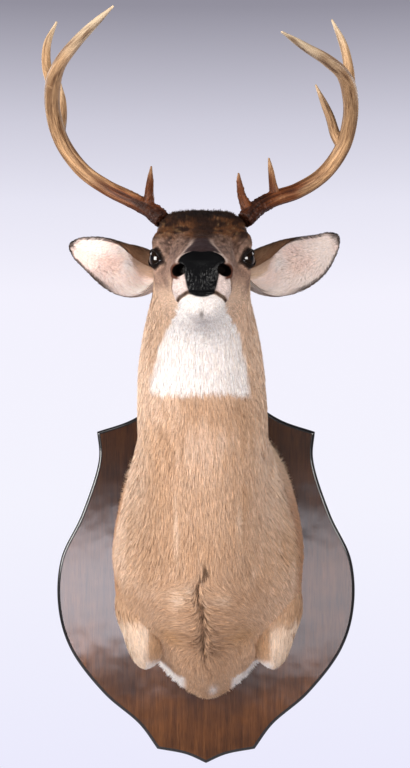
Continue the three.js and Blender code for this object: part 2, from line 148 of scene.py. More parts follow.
BOARD_THICK, BOARD_EDGE = 20.0, 5.5
BOARD_SHOULDER, BOARD_FOOT = (183.5, 259.5), (82, -274)
BOARD_SIDE = [(180.5, 214), (209, 122), (244.5, 45), (249, -35), (229, -105), (172, -181), (112, -233)]
BOARD_CROWN, BOARD_CROWN_HOLLOW, BOARD_PEAK, BOARD_TIP = (67, 318), 9.0, 332, -298
POCKET = (34.6, 11.0, 90.6, 180.0)  # width, depth and height of the plate's pocket, and its middle's height

CAMERA_Y, CAMERA_Z, CAMERA_X = -2520.0, 340.0, -1.7
FOCAL_PX, IMAGE_TALL = 1488.0, 768.0
SENSOR = 36.0


# ---- Arithmetic ----

# Large odd numbers that scatter the numbers of neighbouring cells.
CELL_KEYS, SEED_KEY = (73856093, 19349663, 83492791), 39916801
MIX_KEYS = (1274126177, 668265263, 374761393)
CURVE_STEPS = 24  # straight pieces between two given points of a curve


def along(table, place):
    """A smooth line through the rows of table, read at place, from 0 to the last row's number."""
    table = np.asarray(table, float)
    place = np.asarray(place, float)
    last = len(table) - 1
    i = np.clip(np.floor(place).astype(int), 0, last - 1)
    t = place - i
    if table.ndim > 1:
        t = t[..., None]
    a, b, c, d = (table[np.clip(i + k, 0, last)] for k in (-1, 0, 1, 2))
    return ((2 * t**3 - 3 * t**2 + 1) * b + (t**3 - 2 * t**2 + t) * (c - a) / 2
            + (3 * t**2 - 2 * t**3) * c + (t**3 - t**2) * (d - b) / 2)


def smooth(low, high, value):
    """0 below low, 1 above high, and an even rise between them."""
    t = np.clip((np.asarray(value, float) - low) / (high - low), 0, 1)
    return t * t * (3 - 2 * t)


def unit(v):
    """The directions of vectors, as vectors of length 1."""
    return v / np.maximum(np.linalg.norm(v, axis=-1, keepdims=True), 1e-9)


def dots(a, b):
    """The dot products of vectors, one by one."""
    return (a * b).sum(-1, keepdims=True)


def mix(a, b, share):
    """From a to b by the share; a colour at each point, or one for all."""
    return a + (b - a) * np.asarray(share)[..., None]


def bell(value, wide):
    """1 where the value is 0, falling off to both sides over this width."""
    return np.exp(-((value / wide) ** 2))


def blob(p, centre, radius):
    """1 at the centre, falling off over the radius, or over one radius for each axis."""
    radius = np.broadcast_to(radius, 3)
    return np.exp(-((((p - centre) / radius) ** 2).sum(-1)))


def walked(line):
    """How far along a line each of its points is."""
    return np.r_[0, np.cumsum(np.linalg.norm(np.diff(line, axis=0), axis=1))]


def evenly(line, count):
    """Points evenly spread by length along a line of straight pieces."""
    far = walked(line)
    wanted = np.linspace(0, far[-1], count)
    return np.stack([np.interp(wanted, far, line[:, k]) for k in range(3)], axis=1)


def noise(points, size, seed=0):
    """Smooth noise from -1 to 1 with lumps of about the given size."""
    p = np.asarray(points, float) / size
    low = np.floor(p).astype(np.int64)
    t = p - low
    t = t * t * (3 - 2 * t)
    total = np.zeros(p.shape[:-1])
    for corner in range(8):
        step = np.array([corner & 1, corner >> 1 & 1, corner >> 2 & 1])
        cell = low + step
        key = seed * SEED_KEY
        for axis, number in enumerate(CELL_KEYS):
            key = key ^ (cell[..., axis] * number)
        key = ((key ^ (key >> 13)) * MIX_KEYS[0]) & 0x7FFFFFFF
        key = (key ^ (key >> 16)) & 0xFFFF
        weight = np.prod(np.where(step == 1, t, 1 - t), axis=-1)
        total += weight * (key / 32767.5 - 1)
    return total


def curve_points(points, count):
    """Points evenly spread by length along a smooth centripetal line through the given points."""
    points = np.array(points, float)
    ends = [2 * points[0] - points[1], *points, 2 * points[-1] - points[-2]]
    line = []
    for a, b, c, d in zip(ends, ends[1:], ends[2:], ends[3:]):
        knots = np.cumsum([0.0] + [np.linalg.norm(q - p) ** 0.5 for p, q in ((a, b), (b, c), (c, d))])
        t = np.linspace(knots[1], knots[2], CURVE_STEPS, endpoint=False)[:, None]
        t0, t1, t2, t3 = knots
        a1 = (t1 - t) / (t1 - t0) * a + (t - t0) / (t1 - t0) * b
        a2 = (t2 - t) / (t2 - t1) * b + (t - t1) / (t2 - t1) * c
        a3 = (t3 - t) / (t3 - t2) * c + (t - t2) / (t3 - t2) * d
        b1 = (t2 - t) / (t2 - t0) * a1 + (t - t0) / (t2 - t0) * a2
        b2 = (t3 - t) / (t3 - t1) * a2 + (t - t1) / (t3 - t1) * a3
        line.extend((t2 - t) / (t2 - t1) * b1 + (t - t1) / (t2 - t1) * b2)
    return evenly(np.array([*line, points[-1]]), count)


def frames_along(line):
    """The tangent and two cross directions at each point of a line, carried along it without twist."""
    tangent = unit(np.gradient(line, axis=0))
    across = np.cross(tangent[0], (0.0, 0.0, 1.0))
    across = across if np.linalg.norm(across) > 0.1 else np.cross(tangent[0], (1.0, 0.0, 0.0))
    first = []
    for t in tangent:
        across = across - t * (across @ t)
        across = across / np.linalg.norm(across)
        first.append(across)
    first = np.array(first)
    return tangent, first, np.cross(tangent, first)


# ---- Meshes ----

def mesh_object(name, points, faces, material=None):
    """An object from points in millimetres and faces given as one array, or several, of equal-sided faces."""
    groups = faces if isinstance(faces, list) else [faces]
    mesh = bpy.data.meshes.new(name)
    corners = np.concatenate([np.asarray(g, np.int32).ravel() for g in groups])
    sides = np.concatenate([np.full(len(g), np.shape(g)[1], np.int32) for g in groups])
    mesh.vertices.add(len(points))
    mesh.vertices.foreach_set("co", (np.asarray(points, np.float32) * MM).ravel())
    mesh.loops.add(len(corners))
    mesh.loops.foreach_set("vertex_index", corners)
    mesh.polygons.add(len(sides))
    mesh.polygons.foreach_set("loop_start", np.r_[0, np.cumsum(sides)[:-1]].astype(np.int32))
    mesh.update(calc_edges=True)
    mesh.shade_smooth()
    if material:
        mesh.materials.append(material)
    made = bpy.data.objects.new(name, mesh)
    bpy.context.scene.collection.objects.link(made)
    return made


def paint(obj, name, values):
    """Gives the object's mesh a colour, or a number, at each vertex."""
    if values.ndim == 1:
        layer = obj.data.attributes.new(name, "FLOAT", "POINT")
        layer.data.foreach_set("value", values.astype(np.float32))
        return
    layer = obj.data.color_attributes.new(name, "FLOAT_COLOR", "POINT")
    filled = np.ones((len(values), 4), np.float32)
    filled[:, :3] = values
    layer.data.foreach_set("color", filled.ravel())


def vectors(obj, name, values):
    """Gives the object's mesh a vector at each vertex."""
    layer = obj.data.attributes.new(name, "FLOAT_VECTOR", "POINT")
    layer.data.foreach_set("vector", values.astype(np.float32).ravel())


def unwrap(obj, places):
    """Gives the object's mesh the unwrap that its colours are baked on, from a place for each vertex."""
    loops = np.empty(len(obj.data.loops), np.int32)
    obj.data.loops.foreach_get("vertex_index", loops)
    layer = obj.data.uv_layers.new(name="OFBake")
    layer.data.foreach_set("uv", places[loops].astype(np.float32).ravel())


def grid_faces(rows, columns):
    """The quads of a grid of points whose last column joins its first."""
    i, j = np.meshgrid(np.arange(rows - 1), np.arange(columns), indexing="ij")
    k = (j + 1) % columns
    here, below = i * columns, (i + 1) * columns
    return np.stack([here + j, here + k, below + k, below + j], -1).reshape(-1, 4)


def end_fans(rows, columns):
    """The triangles that close both ends of a grid, round two more points that follow the grid's own."""
    j = np.arange(columns)
    k = (j + 1) % columns
    first, last = np.full(columns, rows * columns), np.full(columns, rows * columns + 1)
    low = (rows - 1) * columns
    return np.concatenate([np.stack([first, k, j], 1), np.stack([last, low + j, low + k], 1)])


def points_of(obj):
    """The mesh's points in millimetres."""
    co = np.empty(len(obj.data.vertices) * 3, np.float32)
    obj.data.vertices.foreach_get("co", co)
    return co.reshape(-1, 3).astype(float) / MM


def apply_modifiers(obj):
    """Replaces the object's mesh by the one its modifiers make."""
    made = bpy.data.meshes.new_from_object(obj.evaluated_get(bpy.context.evaluated_depsgraph_get()))
    obj.modifiers.clear()
    obj.data = made


def face_outward(obj):
    """Joins doubled points and turns the faces of a closed mesh outwards."""
    held = bmesh.new()
    held.from_mesh(obj.data)
    bmesh.ops.remove_doubles(held, verts=held.verts, dist=1e-6)
    bmesh.ops.recalc_face_normals(held, faces=held.faces)
    held.to_mesh(obj.data)
    held.free()


def sharp_edges(obj, degrees):
    """Marks the edges sharper than the angle, so that the faces beside them shade apart."""
    held = bmesh.new()
    held.from_mesh(obj.data)
    for edge in held.edges:
        edge.smooth = len(edge.link_faces) != 2 or edge.calc_face_angle(0) < math.radians(degrees)
    held.to_mesh(obj.data)
    held.free()


def on_frame(obj, slot, *nodes):
    """Puts a piece on the one body, in the place of the frame's nodes that it dresses; its slot is not used.
    """
    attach(obj, "root")
    if nodes:
        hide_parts(*nodes)
    return obj


# ---- The body's form ----

COLUMNS = 232
RING_POINTS = 1440  # points of a ring before it is evened
FINE_STEPS = 1801  # places that the body's length is measured at
# The places along the body, and how deep the coat is there.
COAT_DEPTH = ([0, 3, 6, 8, 9, 10, 11, 12.5, 14, 16, 17.3, 18],
              [8, 9, 9, 8, 6, 4.5, 3.2, 2.2, 1.3, 0.9, 0.5, 0.3])
ROWS_APART = ([0, 8.2, 9.6, 15, 16], [4.6, 4.6, 1.25, 1.25, 0.95])  # places, and how far apart the rows are
# Tables to read a value from: heights, and the half-widths of the chin, the white lip and the nose pad there.
CHIN_SIDE = ([414, 424, 434, 444, 450], [33, 32, 32.5, 34, 36])
LIP_SIDE = ([440, 446, 452, 460, 468, 474, 480, 485], [30, 33.5, 36.5, 38.5, 39, 38, 35.5, 32])
CAP_ROWS = 24
CAP_SLOPE = 35  # degrees that the last section already turns in
MOUTH_LINE = [(0, -587, 459.5), (10, -587, 459.5), (17, -585, 459.3), (22, -580, 457.3), (27, -574, 453.3),
              (31.5, -564, 448), (34, -546, 444.5), (36, -522, 441.5), (37, -506, 440.5)]
PAD_HALF = ([459, 462, 469, 476, 481, 487, 491, 495, 499, 503, 507, 511, 514, 516],
            [16.5, 18.0, 20.0, 21.5, 22.5, 23.0, 24.5, 29.0, 31.0, 30.0, 26.5, 20.5, 13.0, 0.0])
NOSTRIL_X, NOSTRIL_Z = 30.0, 488.0
NOSTRIL_WIDE, NOSTRIL_TALL = 9.3, 8.4
NOSTRIL_SLIT = [(37, -570, 490), (39.5, -560, 493.5), (41, -547, 498.5)]
NOSTRIL_WAY = (-0.35, 0.92, 0.12)  # the way into it
NOSTRIL_DEEP, SLIT_WIDE, SLIT_DEEP = 15.0, 3.0, 4.0
MOUTH_DEEP, LIP_ROUND = 1.5, 1.0  # the mouth's groove, and how far the lips swell beside it
CREASE_DEEP, WHORL_DEEP = 5.0, 2.0
LID_THICK = 1.9
# More swellings of the head that only the skin has.
FINE_SWELLS = [
    ((0, -345, 592), 34, (0, 0, 4)),  # crown between the antlers
    ((23, -580, 504), 9.5, (1.5, -4, 0.5)),  # upper lobe of the nose pad
    ((0, -580, 512), 8, (0, 1.5, -1.5)),  # dip between the lobes
    ((29, -574, 463), 8.5, (1.5, -4, 0)),  # white lip below the nostril
    ((0, -588, 477), 17, (0, -3, 0)),  # lower pad
    ((0, -584, 449), 12, (0, -2.5, 0)),  # lower lip
    ((15, -572, 438), 14, (1, -2, -2)),  # chin
    ((38, -545, 452), 10, (-2, 0, 0)),  # behind the lip
    ((40, -500, 474), 22, (-2.5, 0, 0)),  # hollow in front of the cheek
    ((20, -474, 548), 14, (2, 0, 2)),  # edge of the bridge
    ((44, -404, 552), 10, (2, -3, 2)),  # fold over the eye
    ((30, -376, 580), 14, (0, -3, 2)),  # fold of the forehead
]


def row_places():
    """Places between the sections for the skin's rows, close together on the head and closest at the nose."""
    fine = np.linspace(0, NOSE_SECTION, FINE_STEPS)
    s = along(SECTIONS, fine)
    middle = np.stack([s[:, 0] + s[:, 2], s[:, 1] + s[:, 3]], axis=1) / 2
    step = np.linalg.norm(np.diff(middle, axis=0), axis=1)
    rows = np.r_[0, np.cumsum(step / np.interp(fine[1:], *ROWS_APART))]
    return np.interp(np.linspace(0, rows[-1], int(rows[-1]) + 1), rows, fine)


def rings_at(places):
    """Rings of points of the plain form, with the lean not yet added."""
    s = along(SECTIONS, places)
    angle = np.linspace(0, 2 * math.pi, RING_POINTS, endpoint=False)
    up, out = np.cos(angle)[None], np.sin(angle)[None]
    half, widest = s[:, 5, None], s[:, 6, None]
    power = 2 / np.where(up > 0, s[:, 7, None], s[:, 8, None])
    rise = np.abs(up) ** power
    down = np.where(up > 0, widest * (1 - rise), widest + (1 - widest) * rise)
    x = half * np.sign(out) * np.abs(out) ** power
    y = s[:, 0, None] + (s[:, 2] - s[:, 0])[:, None] * down
    z = s[:, 1, None] + (s[:, 3] - s[:, 1])[:, None] * down
    return np.stack([x, y, z], axis=-1)


def swollen(p, swells):
    """The points, pushed out or in by the swellings of both sides."""
    moved = p.copy()
    for at, reach, push in swells:
        for side in (1, -1) if at[0] else (1,):
            far = np.linalg.norm(p - np.array(at) * (side, 1, 1), axis=-1)
            near = far < reach * 3
            moved[near] += np.exp(-((far[near] / reach) ** 2))[:, None] * (np.array(push) * (side, 1, 1))
    return moved


def evened(ring, count):
    """The ring's outline read at evenly spaced places, from the back line round by the left."""
    return evenly(np.vstack([ring, ring[:1]]), count + 1)[:-1]


def grid_normals(grid, closed=True):
    """The outward directions of a grid whose columns run round to the left as seen from its first row."""
    if closed:
        across = np.roll(grid, -1, axis=1) - np.roll(grid, 1, axis=1)
    else:
        across = np.gradient(grid, axis=1)
    return unit(np.cross(np.gradient(grid, axis=0), across))


def nose_cap(ring):
    """Rows that close the last ring with a rounded front."""
    start = math.radians(CAP_SLOPE)
    middle = ring.mean(axis=0)
    rows = []
    for t in np.linspace(start, math.pi / 2, CAP_ROWS + 1)[1:]:
        flat = middle + (ring - middle) * (math.cos(t) / math.cos(start))
        ahead = (math.sin(t) - math.sin(start)) / (1 - math.sin(start))
        flat[:, 1] = ring[:, 1] + (NOSE_END_Y - ring[:, 1]) * ahead
        rows.append(flat)
    return np.array(rows)


def distance_to_line(p, line):
    """How far each point is from a line of straight pieces."""
    best = np.full(len(p), 1e9)
    for a, b in zip(np.array(line[:-1], float), np.array(line[1:], float)):
        t = np.clip(((p - a) @ (b - a)) / ((b - a) @ (b - a)), 0, 1)
        best = np.minimum(best, np.linalg.norm(p - a - t[:, None] * (b - a), axis=1))
    return best


FAR_OFF = 9.0  # a measure of openings, for points that are on another face of the head
FOUND = {"mouth": np.array(MOUTH_LINE, float)}  # the mouth's line, once it is laid on the surface


def mouth_distance(q):
    """For mirrored points: how far they are from the mouth's line; 99 for all that is well away from it."""
    far = np.full(len(q), 99.0)
    near = (q[:, 1] < -490) & (q[:, 2] < 475) & (q[:, 2] > 425)
    far[near] = distance_to_line(q[near], FOUND["mouth"])
    return far


def mirrored(p):
    """The points, all moved over to the left side."""
    return np.stack([np.abs(p[:, 0]), p[:, 1], p[:, 2]], axis=1)


def eye_frame():
    """The left eye's axis, the way to the tear duct, and up."""
    axis = unit(np.array(EYE_AXIS))
    ahead = np.array([-0.5, -0.86, -0.22])
    ahead = unit(ahead - axis * (ahead @ axis))
    upward = np.cross(ahead, axis)
    return axis, ahead, upward * np.sign(upward[2])


def eye_places(q):
    """For mirrored points: how far out of the eye's opening, 1 at its rim, and their place in its frame."""
    axis, ahead, upward = eye_frame()
    away = q - EYE
    a, b, high = away @ ahead, away @ upward, away @ axis
    long, tall = EYE_OPENING
    narrow = 1 - 0.4 * np.clip((a / long) ** 2, 0, 1)
    out = np.sqrt((a / long) ** 2 + (b / (tall * narrow)) ** 2)
    out = np.where(high < -4, FAR_OFF, out)
    return out, a, b, high


def nostril_places(q):
    """For mirrored points: how far out of the nostril's front they are, and out of its slit, 1 at the rim."""
    x, y, z = q.T
    high = z - NOSTRIL_Z - 0.12 * (NOSTRIL_X - x)
    front = np.sqrt(((x - NOSTRIL_X) / NOSTRIL_WIDE) ** 2 + (high / NOSTRIL_TALL) ** 2)
    front = np.where(y < -554, front, FAR_OFF)
    return front, distance_to_line(q, NOSTRIL_SLIT) / SLIT_WIDE


def nostril_out(q):
    """For mirrored points: how far out of the whole nostril they are, 1 at the rim."""
    return np.minimum(*nostril_places(q))


def pad_share(q):
    """For mirrored points: 1 on the bare nose pad, 0 off it."""
    x, y, z = q.T
    side = smooth(1.2, -1.2, x - np.interp(z, *PAD_HALF))
    tall = smooth(458.5, 460, z) * smooth(518, 515, z)
    ahead = smooth(0, -4, y + 560 + 11 * smooth(498, 508, z))
    return side * tall * ahead


def lower_rim(q):
    """For mirrored points: 1 on the black rim of the lower lip."""
    x, y, z = q.T
    above = smooth(0, 1.5, z - 452.0 - 5.0 * (x / 17) ** 2)
    return smooth(17.5, 15.5, x) * above * smooth(463, 461, z) * smooth(-570, -575, y)


def on_surface(line, points, count=36):
    """The line, moved onto the nearest of the points."""
    line = curve_points(line, count)
    far = np.linalg.norm(line[:, None] - points[None], axis=2)
    return points[far.argmin(axis=1)]


def carve_mouth(moved, q, n):
    """The mouth's groove, with its lips' rounded edges."""
    far = mouth_distance(q)
    moved -= n * (MOUTH_DEEP * bell(far, 1.5) - LIP_ROUND * bell(far - 4.0, 1.8))[:, None]


def carve_pad(moved, q, n):
    """The pad stands up a little, with a groove down its middle, wrinkles below and a crease at each side."""
    x, y, z = q.T
    pad = pad_share(q)
    moved += n * (0.8 * pad)[:, None]
    low = smooth(458, 464, z) * smooth(494, 482, z) * pad
    wrinkles = 0.26 * (1 + np.cos((x + 1.5 * noise(q, 5, 6)) * 1.7))
    moved -= n * (low * (0.5 * bell(x, 1.6) + wrinkles))[:, None]
    moved += n * (0.45 * low * noise(q * (1, 1, 0.8), 2.2, 33))[:, None]
    crease = bell(x - np.interp(z, *PAD_HALF) - 0.8, 1.3) * smooth(486, 480, z) * smooth(459, 462, z)
    moved -= n * (1.4 * crease * smooth(-566, -572, y))[:, None]


def carve_nostrils(moved, q, n):
    """The nostrils' hollows, the slits behind them and the raised rims."""
    front, slit = nostril_places(q)
    moved += unit(np.array(NOSTRIL_WAY)) * (NOSTRIL_DEEP * smooth(1.04, 0.55, front))[:, None]
    moved -= n * (SLIT_DEEP * smooth(1.0, 0.3, slit) * smooth(0.8, 1.1, front))[:, None]
    rim = bell(np.minimum(front, slit) - 1.28, 0.18)
    moved += n * (1.2 * rim * smooth(24, 32, q[:, 0]))[:, None]


def carve_folds(moved, q, n):
    """Folds of the brow, and the uneven skin of the whole head."""
    x, y, z = q.T
    brow = smooth(60, 40, x) * smooth(540, 550, z) * smooth(600, 585, z) * smooth(-455, -440, y)
    wave = np.sin((z + 0.12 * x) / 2.1) * 0.5 + 0.5 * noise(q * (0.6, 1, 2.0), 12, 5)
    moved += n * (1.3 * brow * wave)[:, None]
    moved += n * (0.5 * noise(q, 7, 6) * smooth(-300, -380, y) * (1 - pad_share(q)))[:, None]


def carve_eye(moved, q, n):
    """The lids follow the ball, inside the opening the skin drops behind it, and a duct leads forward."""
    out, a, b, high = eye_places(q)
    ball = np.sqrt(np.maximum(EYE_R**2 - a**2 - b**2, (0.4 * EYE_R) ** 2))
    wanted = high + (ball + LID_THICK - high) * smooth(2.3, 1.05, out)
    wanted = wanted + (ball - 4 - wanted) * smooth(1.0, 0.86, out)
    moved += eye_frame()[0] * np.where(out < 2.4, wanted - high, 0.0)[:, None]
    moved -= n * (2.2 * tear_duct(a - 27, b + 2 + 0.15 * (a - 20), 8, 2.2) * (out < 6))[:, None]


def tear_duct(ahead, across, long, wide):
    """1 in the middle of the tear duct, falling off along it and across it."""
    return np.exp(-((ahead / long) ** 2) - (across / wide) ** 2)


def sculpt(p, normal):
    """Carves the mouth, the pad, the nostrils, the folds and the eyes into the head's points."""
    side = np.where(p[:, :1] < 0, -1.0, 1.0)
    flip = np.concatenate([side, np.ones_like(side), np.ones_like(side)], axis=1)
    q = mirrored(p)
    moved = q.copy()
    for carve in (carve_mouth, carve_pad, carve_nostrils, carve_folds, carve_eye):
        carve(moved, q, normal * flip)
    return moved * flip


def body_grids():
    """The coat's outer limit without the lean, the coat's depth at its points, and the rows' places."""
    places = row_places()
    raw = swollen(rings_at(places), SWELLS)
    limit = np.stack([evened(ring, COLUMNS) for ring in raw])
    limit = np.concatenate([limit, nose_cap(limit[-1])])
    places = np.r_[places, NOSE_SECTION + np.linspace(0, 1, CAP_ROWS + 1)[1:]]
    limit = swollen(limit, FINE_SWELLS)
    x, y, z = np.moveaxis(limit, -1, 0)
    curl = np.exp(-(((x - WHORL[0]) / 6) ** 2) - ((z - WHORL[2]) / 8) ** 2) * (y < -200)
    limit[..., 1] += CREASE_DEEP * crease_line(limit, 3.8) + WHORL_DEEP * curl
    head = np.searchsorted(places, 9.0)
    flat = limit[head:].reshape(-1, 3)
    FOUND["mouth"] = on_surface(MOUTH_LINE, flat[flat[:, 0] > -0.5])
    limit[head:] = sculpt(flat, grid_normals(limit)[head:].reshape(-1, 3)).reshape(limit[head:].shape)
    limit[-1] = limit[-1].mean(axis=0)
    q = mirrored(limit.reshape(-1, 3))
    bare = pad_share(q) + smooth(1.4, 1.1, nostril_out(q)) + smooth(1.5, 1.2, eye_places(q)[0])
    bare = bare + smooth(3.0, 1.5, mouth_distance(q))
    depth = np.interp(places, *COAT_DEPTH)[:, None] * (1 - np.clip(bare, 0, 1).reshape(limit.shape[:2]))
    return limit, depth, places


# ---- Ears and legs ----

EAR_ROWS, EAR_COLUMNS = 100, 56
EAR_ROOT = 10  # rows that are drawn into the head
EAR_ROOT_DEEP, EAR_ROOT_SMALL = 22.0, 0.5  # how deep they go, and how small the first row is
EAR_RIM_THIN = 0.2  # how thick the rims are, as a share of the wall
EAR_ROUND = 0.90  # the share of the ear where its tip starts to close
LEG_ROWS, LEG_COLUMNS = 60, 72
LEG_ROOT, LEG_NEAR = (-110, -40), 150  # y and z of a leg's root, and how far from it the body meets the leg
LEG_ROUND = 0.84  # the share of the leg where its end starts to close


def spline(points, count):
    """Points of a smooth line, spread by the number of the given point."""
    points = np.asarray(points, float)
    ends = np.vstack([2 * points[0] - points[1], points, 2 * points[-1] - points[-2]])
    place = np.linspace(0, len(points) - 1, count)
    i = np.clip(place.astype(int), 0, len(points) - 2)
    t = (place - i)[:, None]
    a, b, c, d = (ends[i + k] for k in range(4))
    return 0.5 * (2 * b + (c - a) * t + (2 * a - 5 * b + 4 * c - d) * t**2 + (3 * b - a - 3 * c + d) * t**3)


def rounding(share, start, most):
    """How much of its size a part keeps towards its closed end, from the share where the closing starts."""
    return np.sqrt(1 - np.clip((share - start) / (1 - start), 0, most) ** 2)


def read_evenly(table, share):
    """A table of values at even steps, read at shares of its length."""
    return along(table, share * (len(table) - 1))


def ear_share(row):
    """The share of the way from an ear's root to its tip, at a row of its grid."""
    return np.clip((row - EAR_ROOT) / (EAR_ROWS - 1 - EAR_ROOT), 0, 1)


def ear_grids(name):
    """An ear's back and hollow, from its root to its tip, each row from the front rim to the back one."""
    line = curve_points(EAR_LINES[name], EAR_ROWS - EAR_ROOT)
    tangent = unit(np.gradient(line, axis=0))
    share = np.linspace(0, 1, len(line))
    face = unit(np.array(EAR_FACE) - tangent * dots(tangent, np.array(EAR_FACE)))
    upward = unit(np.cross(face, tangent))
    front, back = [np.radians(read_evenly(rim, share)[:, None]) for rim in (EAR_FRONT_RIM, EAR_BACK_RIM)]
    across = np.linspace(0, 1, EAR_COLUMNS)
    angle = front + (-back - front) * across[None]
    close = rounding(share, EAR_ROUND, 0.99)[:, None]
    inner = np.linspace(1, 0, EAR_ROOT, endpoint=False)[:, None, None]
    thin = EAR_RIM_THIN + (1 - EAR_RIM_THIN) * np.sin(np.pi * across) ** 0.7
    half, deep, wall = [read_evenly(table, share)[:, None] for table in (EAR_HALF[name], EAR_DEEP, EAR_WALL)]
    made = []
    for inset in (EAR_INSET, wall * thin + EAR_INSET * 0.3):
        high = np.maximum((half - inset) * close, 0.8) * np.sin(angle)
        low = np.maximum((deep - inset) * close, 0.5) * np.cos(angle)
        grid = line[:, None] + upward[:, None] * high[..., None] - face[:, None] * low[..., None]
        size = 1 - (1 - EAR_ROOT_SMALL) * inner**2
        root = line[0] + (grid[:1] - line[0]) * size - tangent[0] * EAR_ROOT_DEEP * inner
        made.append(np.concatenate([root, grid]) * (SIDES[name], 1, 1))
    return made


def leg_grid(side):
    """A leg's stub, from inside the body down to its rounded end."""
    line = spline(LEG_LINE, LEG_ROWS)
    share = np.linspace(0, 1, LEG_ROWS)
    close = rounding(share, LEG_ROUND, 0.995)
    wide, deep = [(read_evenly(table, share) * close)[:, None] for table in (LEG_WIDE, LEG_DEEP)]
    angle = np.linspace(0, 2 * math.pi, LEG_COLUMNS, endpoint=False)[None]
    x = line[:, 0, None] * side + wide * np.cos(angle) * side + LEG_LEAN
    y = line[:, 1, None] + deep * np.sin(angle)
    z = np.repeat(line[:, 2, None], LEG_COLUMNS, 1)
    return np.stack([x, y, z], axis=-1)


def away_from(normal, grid, other):
    """The grid's directions, all turned if need be so that they point away from the other points."""
    return normal * np.sign(dots(normal, grid - other).sum())


def round_normals(grid):
    """The outward directions of a closed grid, away from its rows' middles."""
    return away_from(grid_normals(grid), grid, grid.mean(axis=1, keepdims=True))


def bulge_towards(points, others, normals):
    """How far points rise to meet a second surface in a rounded valley, from its points and its normals."""
    rise = np.zeros(len(points))
    for block in np.array_split(np.arange(len(points)), max(1, len(points) // 2000)):
        away = points[block][:, None] - others[None]
        i = np.einsum("ijk,ijk->ij", away, away).argmin(axis=1)
        height = ((points[block] - others[i]) * normals[i]).sum(axis=1)
        rise[block] = VALLEY / 4 * np.clip(1 - np.abs(height) / VALLEY, 0, 1) ** 2
    return rise


def join_legs(limit, places, legs):
    """Rounds the valleys between the body and the legs: moves the points of both outwards there."""
    last = np.searchsorted(places, 4.6)
    lean = lean_at(places)[:last, None, None] * (1, 0, 0)
    body = limit[:last] + lean
    body_normal = grid_normals(limit)[:last]
    joined = body.copy()
    made = []
    for leg in legs:
        normal = round_normals(leg)
        near = np.abs(body - (leg[..., 0].mean(), *LEG_ROOT)).max(axis=2) < LEG_NEAR
        rise = bulge_towards(body[near], leg.reshape(-1, 3), normal.reshape(-1, 3))
        joined[near] += body_normal[near] * rise[:, None]
        lift = bulge_towards(leg.reshape(-1, 3), body[near], body_normal[near]).reshape(leg.shape[:2])
        made.append(leg + normal * lift[..., None])
    limit = limit.copy()
    limit[:last] = joined - lean
    return limit, made


# ---- Markings, shared by the skin and the coat ----

TAN, TAN_WARM, TAN_DEEP = np.array([(0.66, 0.460, 0.330), (0.53, 0.330, 0.205), (0.38, 0.210, 0.118)])
TAN_PALE, SIDE_RED = np.array([(0.74, 0.545, 0.405), (0.42, 0.205, 0.105)])
BACK_BROWN, CREAM, WHITE = np.array([(0.24, 0.145, 0.090), (0.76, 0.58, 0.44), (0.86, 0.785, 0.745)])
FACE_GREY, FACE_TAN, OCHRE = np.array([(0.19, 0.112, 0.085), (0.44, 0.280, 0.205), (0.52, 0.29, 0.14)])
RUSSET, UMBER, NEAR_BLACK = np.array([(0.105, 0.042, 0.018), (0.026, 0.012, 0.008), (0.010, 0.007, 0.006)])
PAD_BLACK, NOSTRIL_BROWN = np.array([(0.004, 0.004, 0.0045), (0.10, 0.040, 0.026)])
BRIDGE_GREY, PALE_PINK = np.array([(0.040, 0.023, 0.023), (0.58, 0.45, 0.39)])
# CHIN_SHADE_GREY is a painted shade, for the underside of the chin.
CHIN_SHADE_GREY, LIP_WHITE = np.array([(0.12, 0.085, 0.075), (0.66, 0.54, 0.50)])
EAR_BROWN, EAR_RIM, EAR_CREAM = np.array([(0.23, 0.112, 0.060), (0.026, 0.014, 0.010), (0.93, 0.80, 0.74)])
# EAR_CUP_SHADE is painted shade, pinker and darker, for the deep middle of an ear's hollow.
EAR_PINK, EAR_CUP_SHADE = np.array([(0.93, 0.72, 0.65), (0.86, 0.60, 0.50)])
EAR_PAINTED_LIGHT = {"left": 0.80, "right": 1.05}  # painted light and shade: how much lighter or darker each ear is painted, for how the light falls on it
# Tables to read a value from: heights and the throat's half-width; shares along an ear and across, where its
# fold ends; heights of the brisket's middle line and its x.
THROAT_WIDE = ([321, 345, 366, 395, 422, 440], [75, 73, 69, 61, 50, 37])
EAR_FOLD = ([0, 0.1, 0.25, 0.4, 0.55, 0.6], [0.62, 0.58, 0.44, 0.25, 0.06, -0.1])
CREASE = ([-150, -127, -114, -88, -65, -47, -17, 1, 13, 38, 50], [6, 5, -1, -6, -4, -1, -2, -5, -9, -8, -2])
WHORL = (3.0, -280.0, 52.0)
WHORL_SLIT = [(3, 0, 66), (3, 0, 56), (2, 0, 48)]
WHORL_CURL = [(-3, 0, 44), (3, 0, 46), (8, 0, 54)]
# Patches of hair colour and of painted shade that both sides of the trunk have: the colour, how strong, the
# middle, and the reach.
SIDE_PATCHES = [
    (OCHRE, 0.75, (58, -180, -62), (24, 60, 22)),  # painted shade in the hollow between the brisket and the leg
    (TAN_DEEP, 0.4, (22, -210, -70), (16, 60, 40)),  # painted shade beside the crease
    (CREAM, 0.6, (116, -150, -78), (24, 60, 30)),  # front of the leg
]


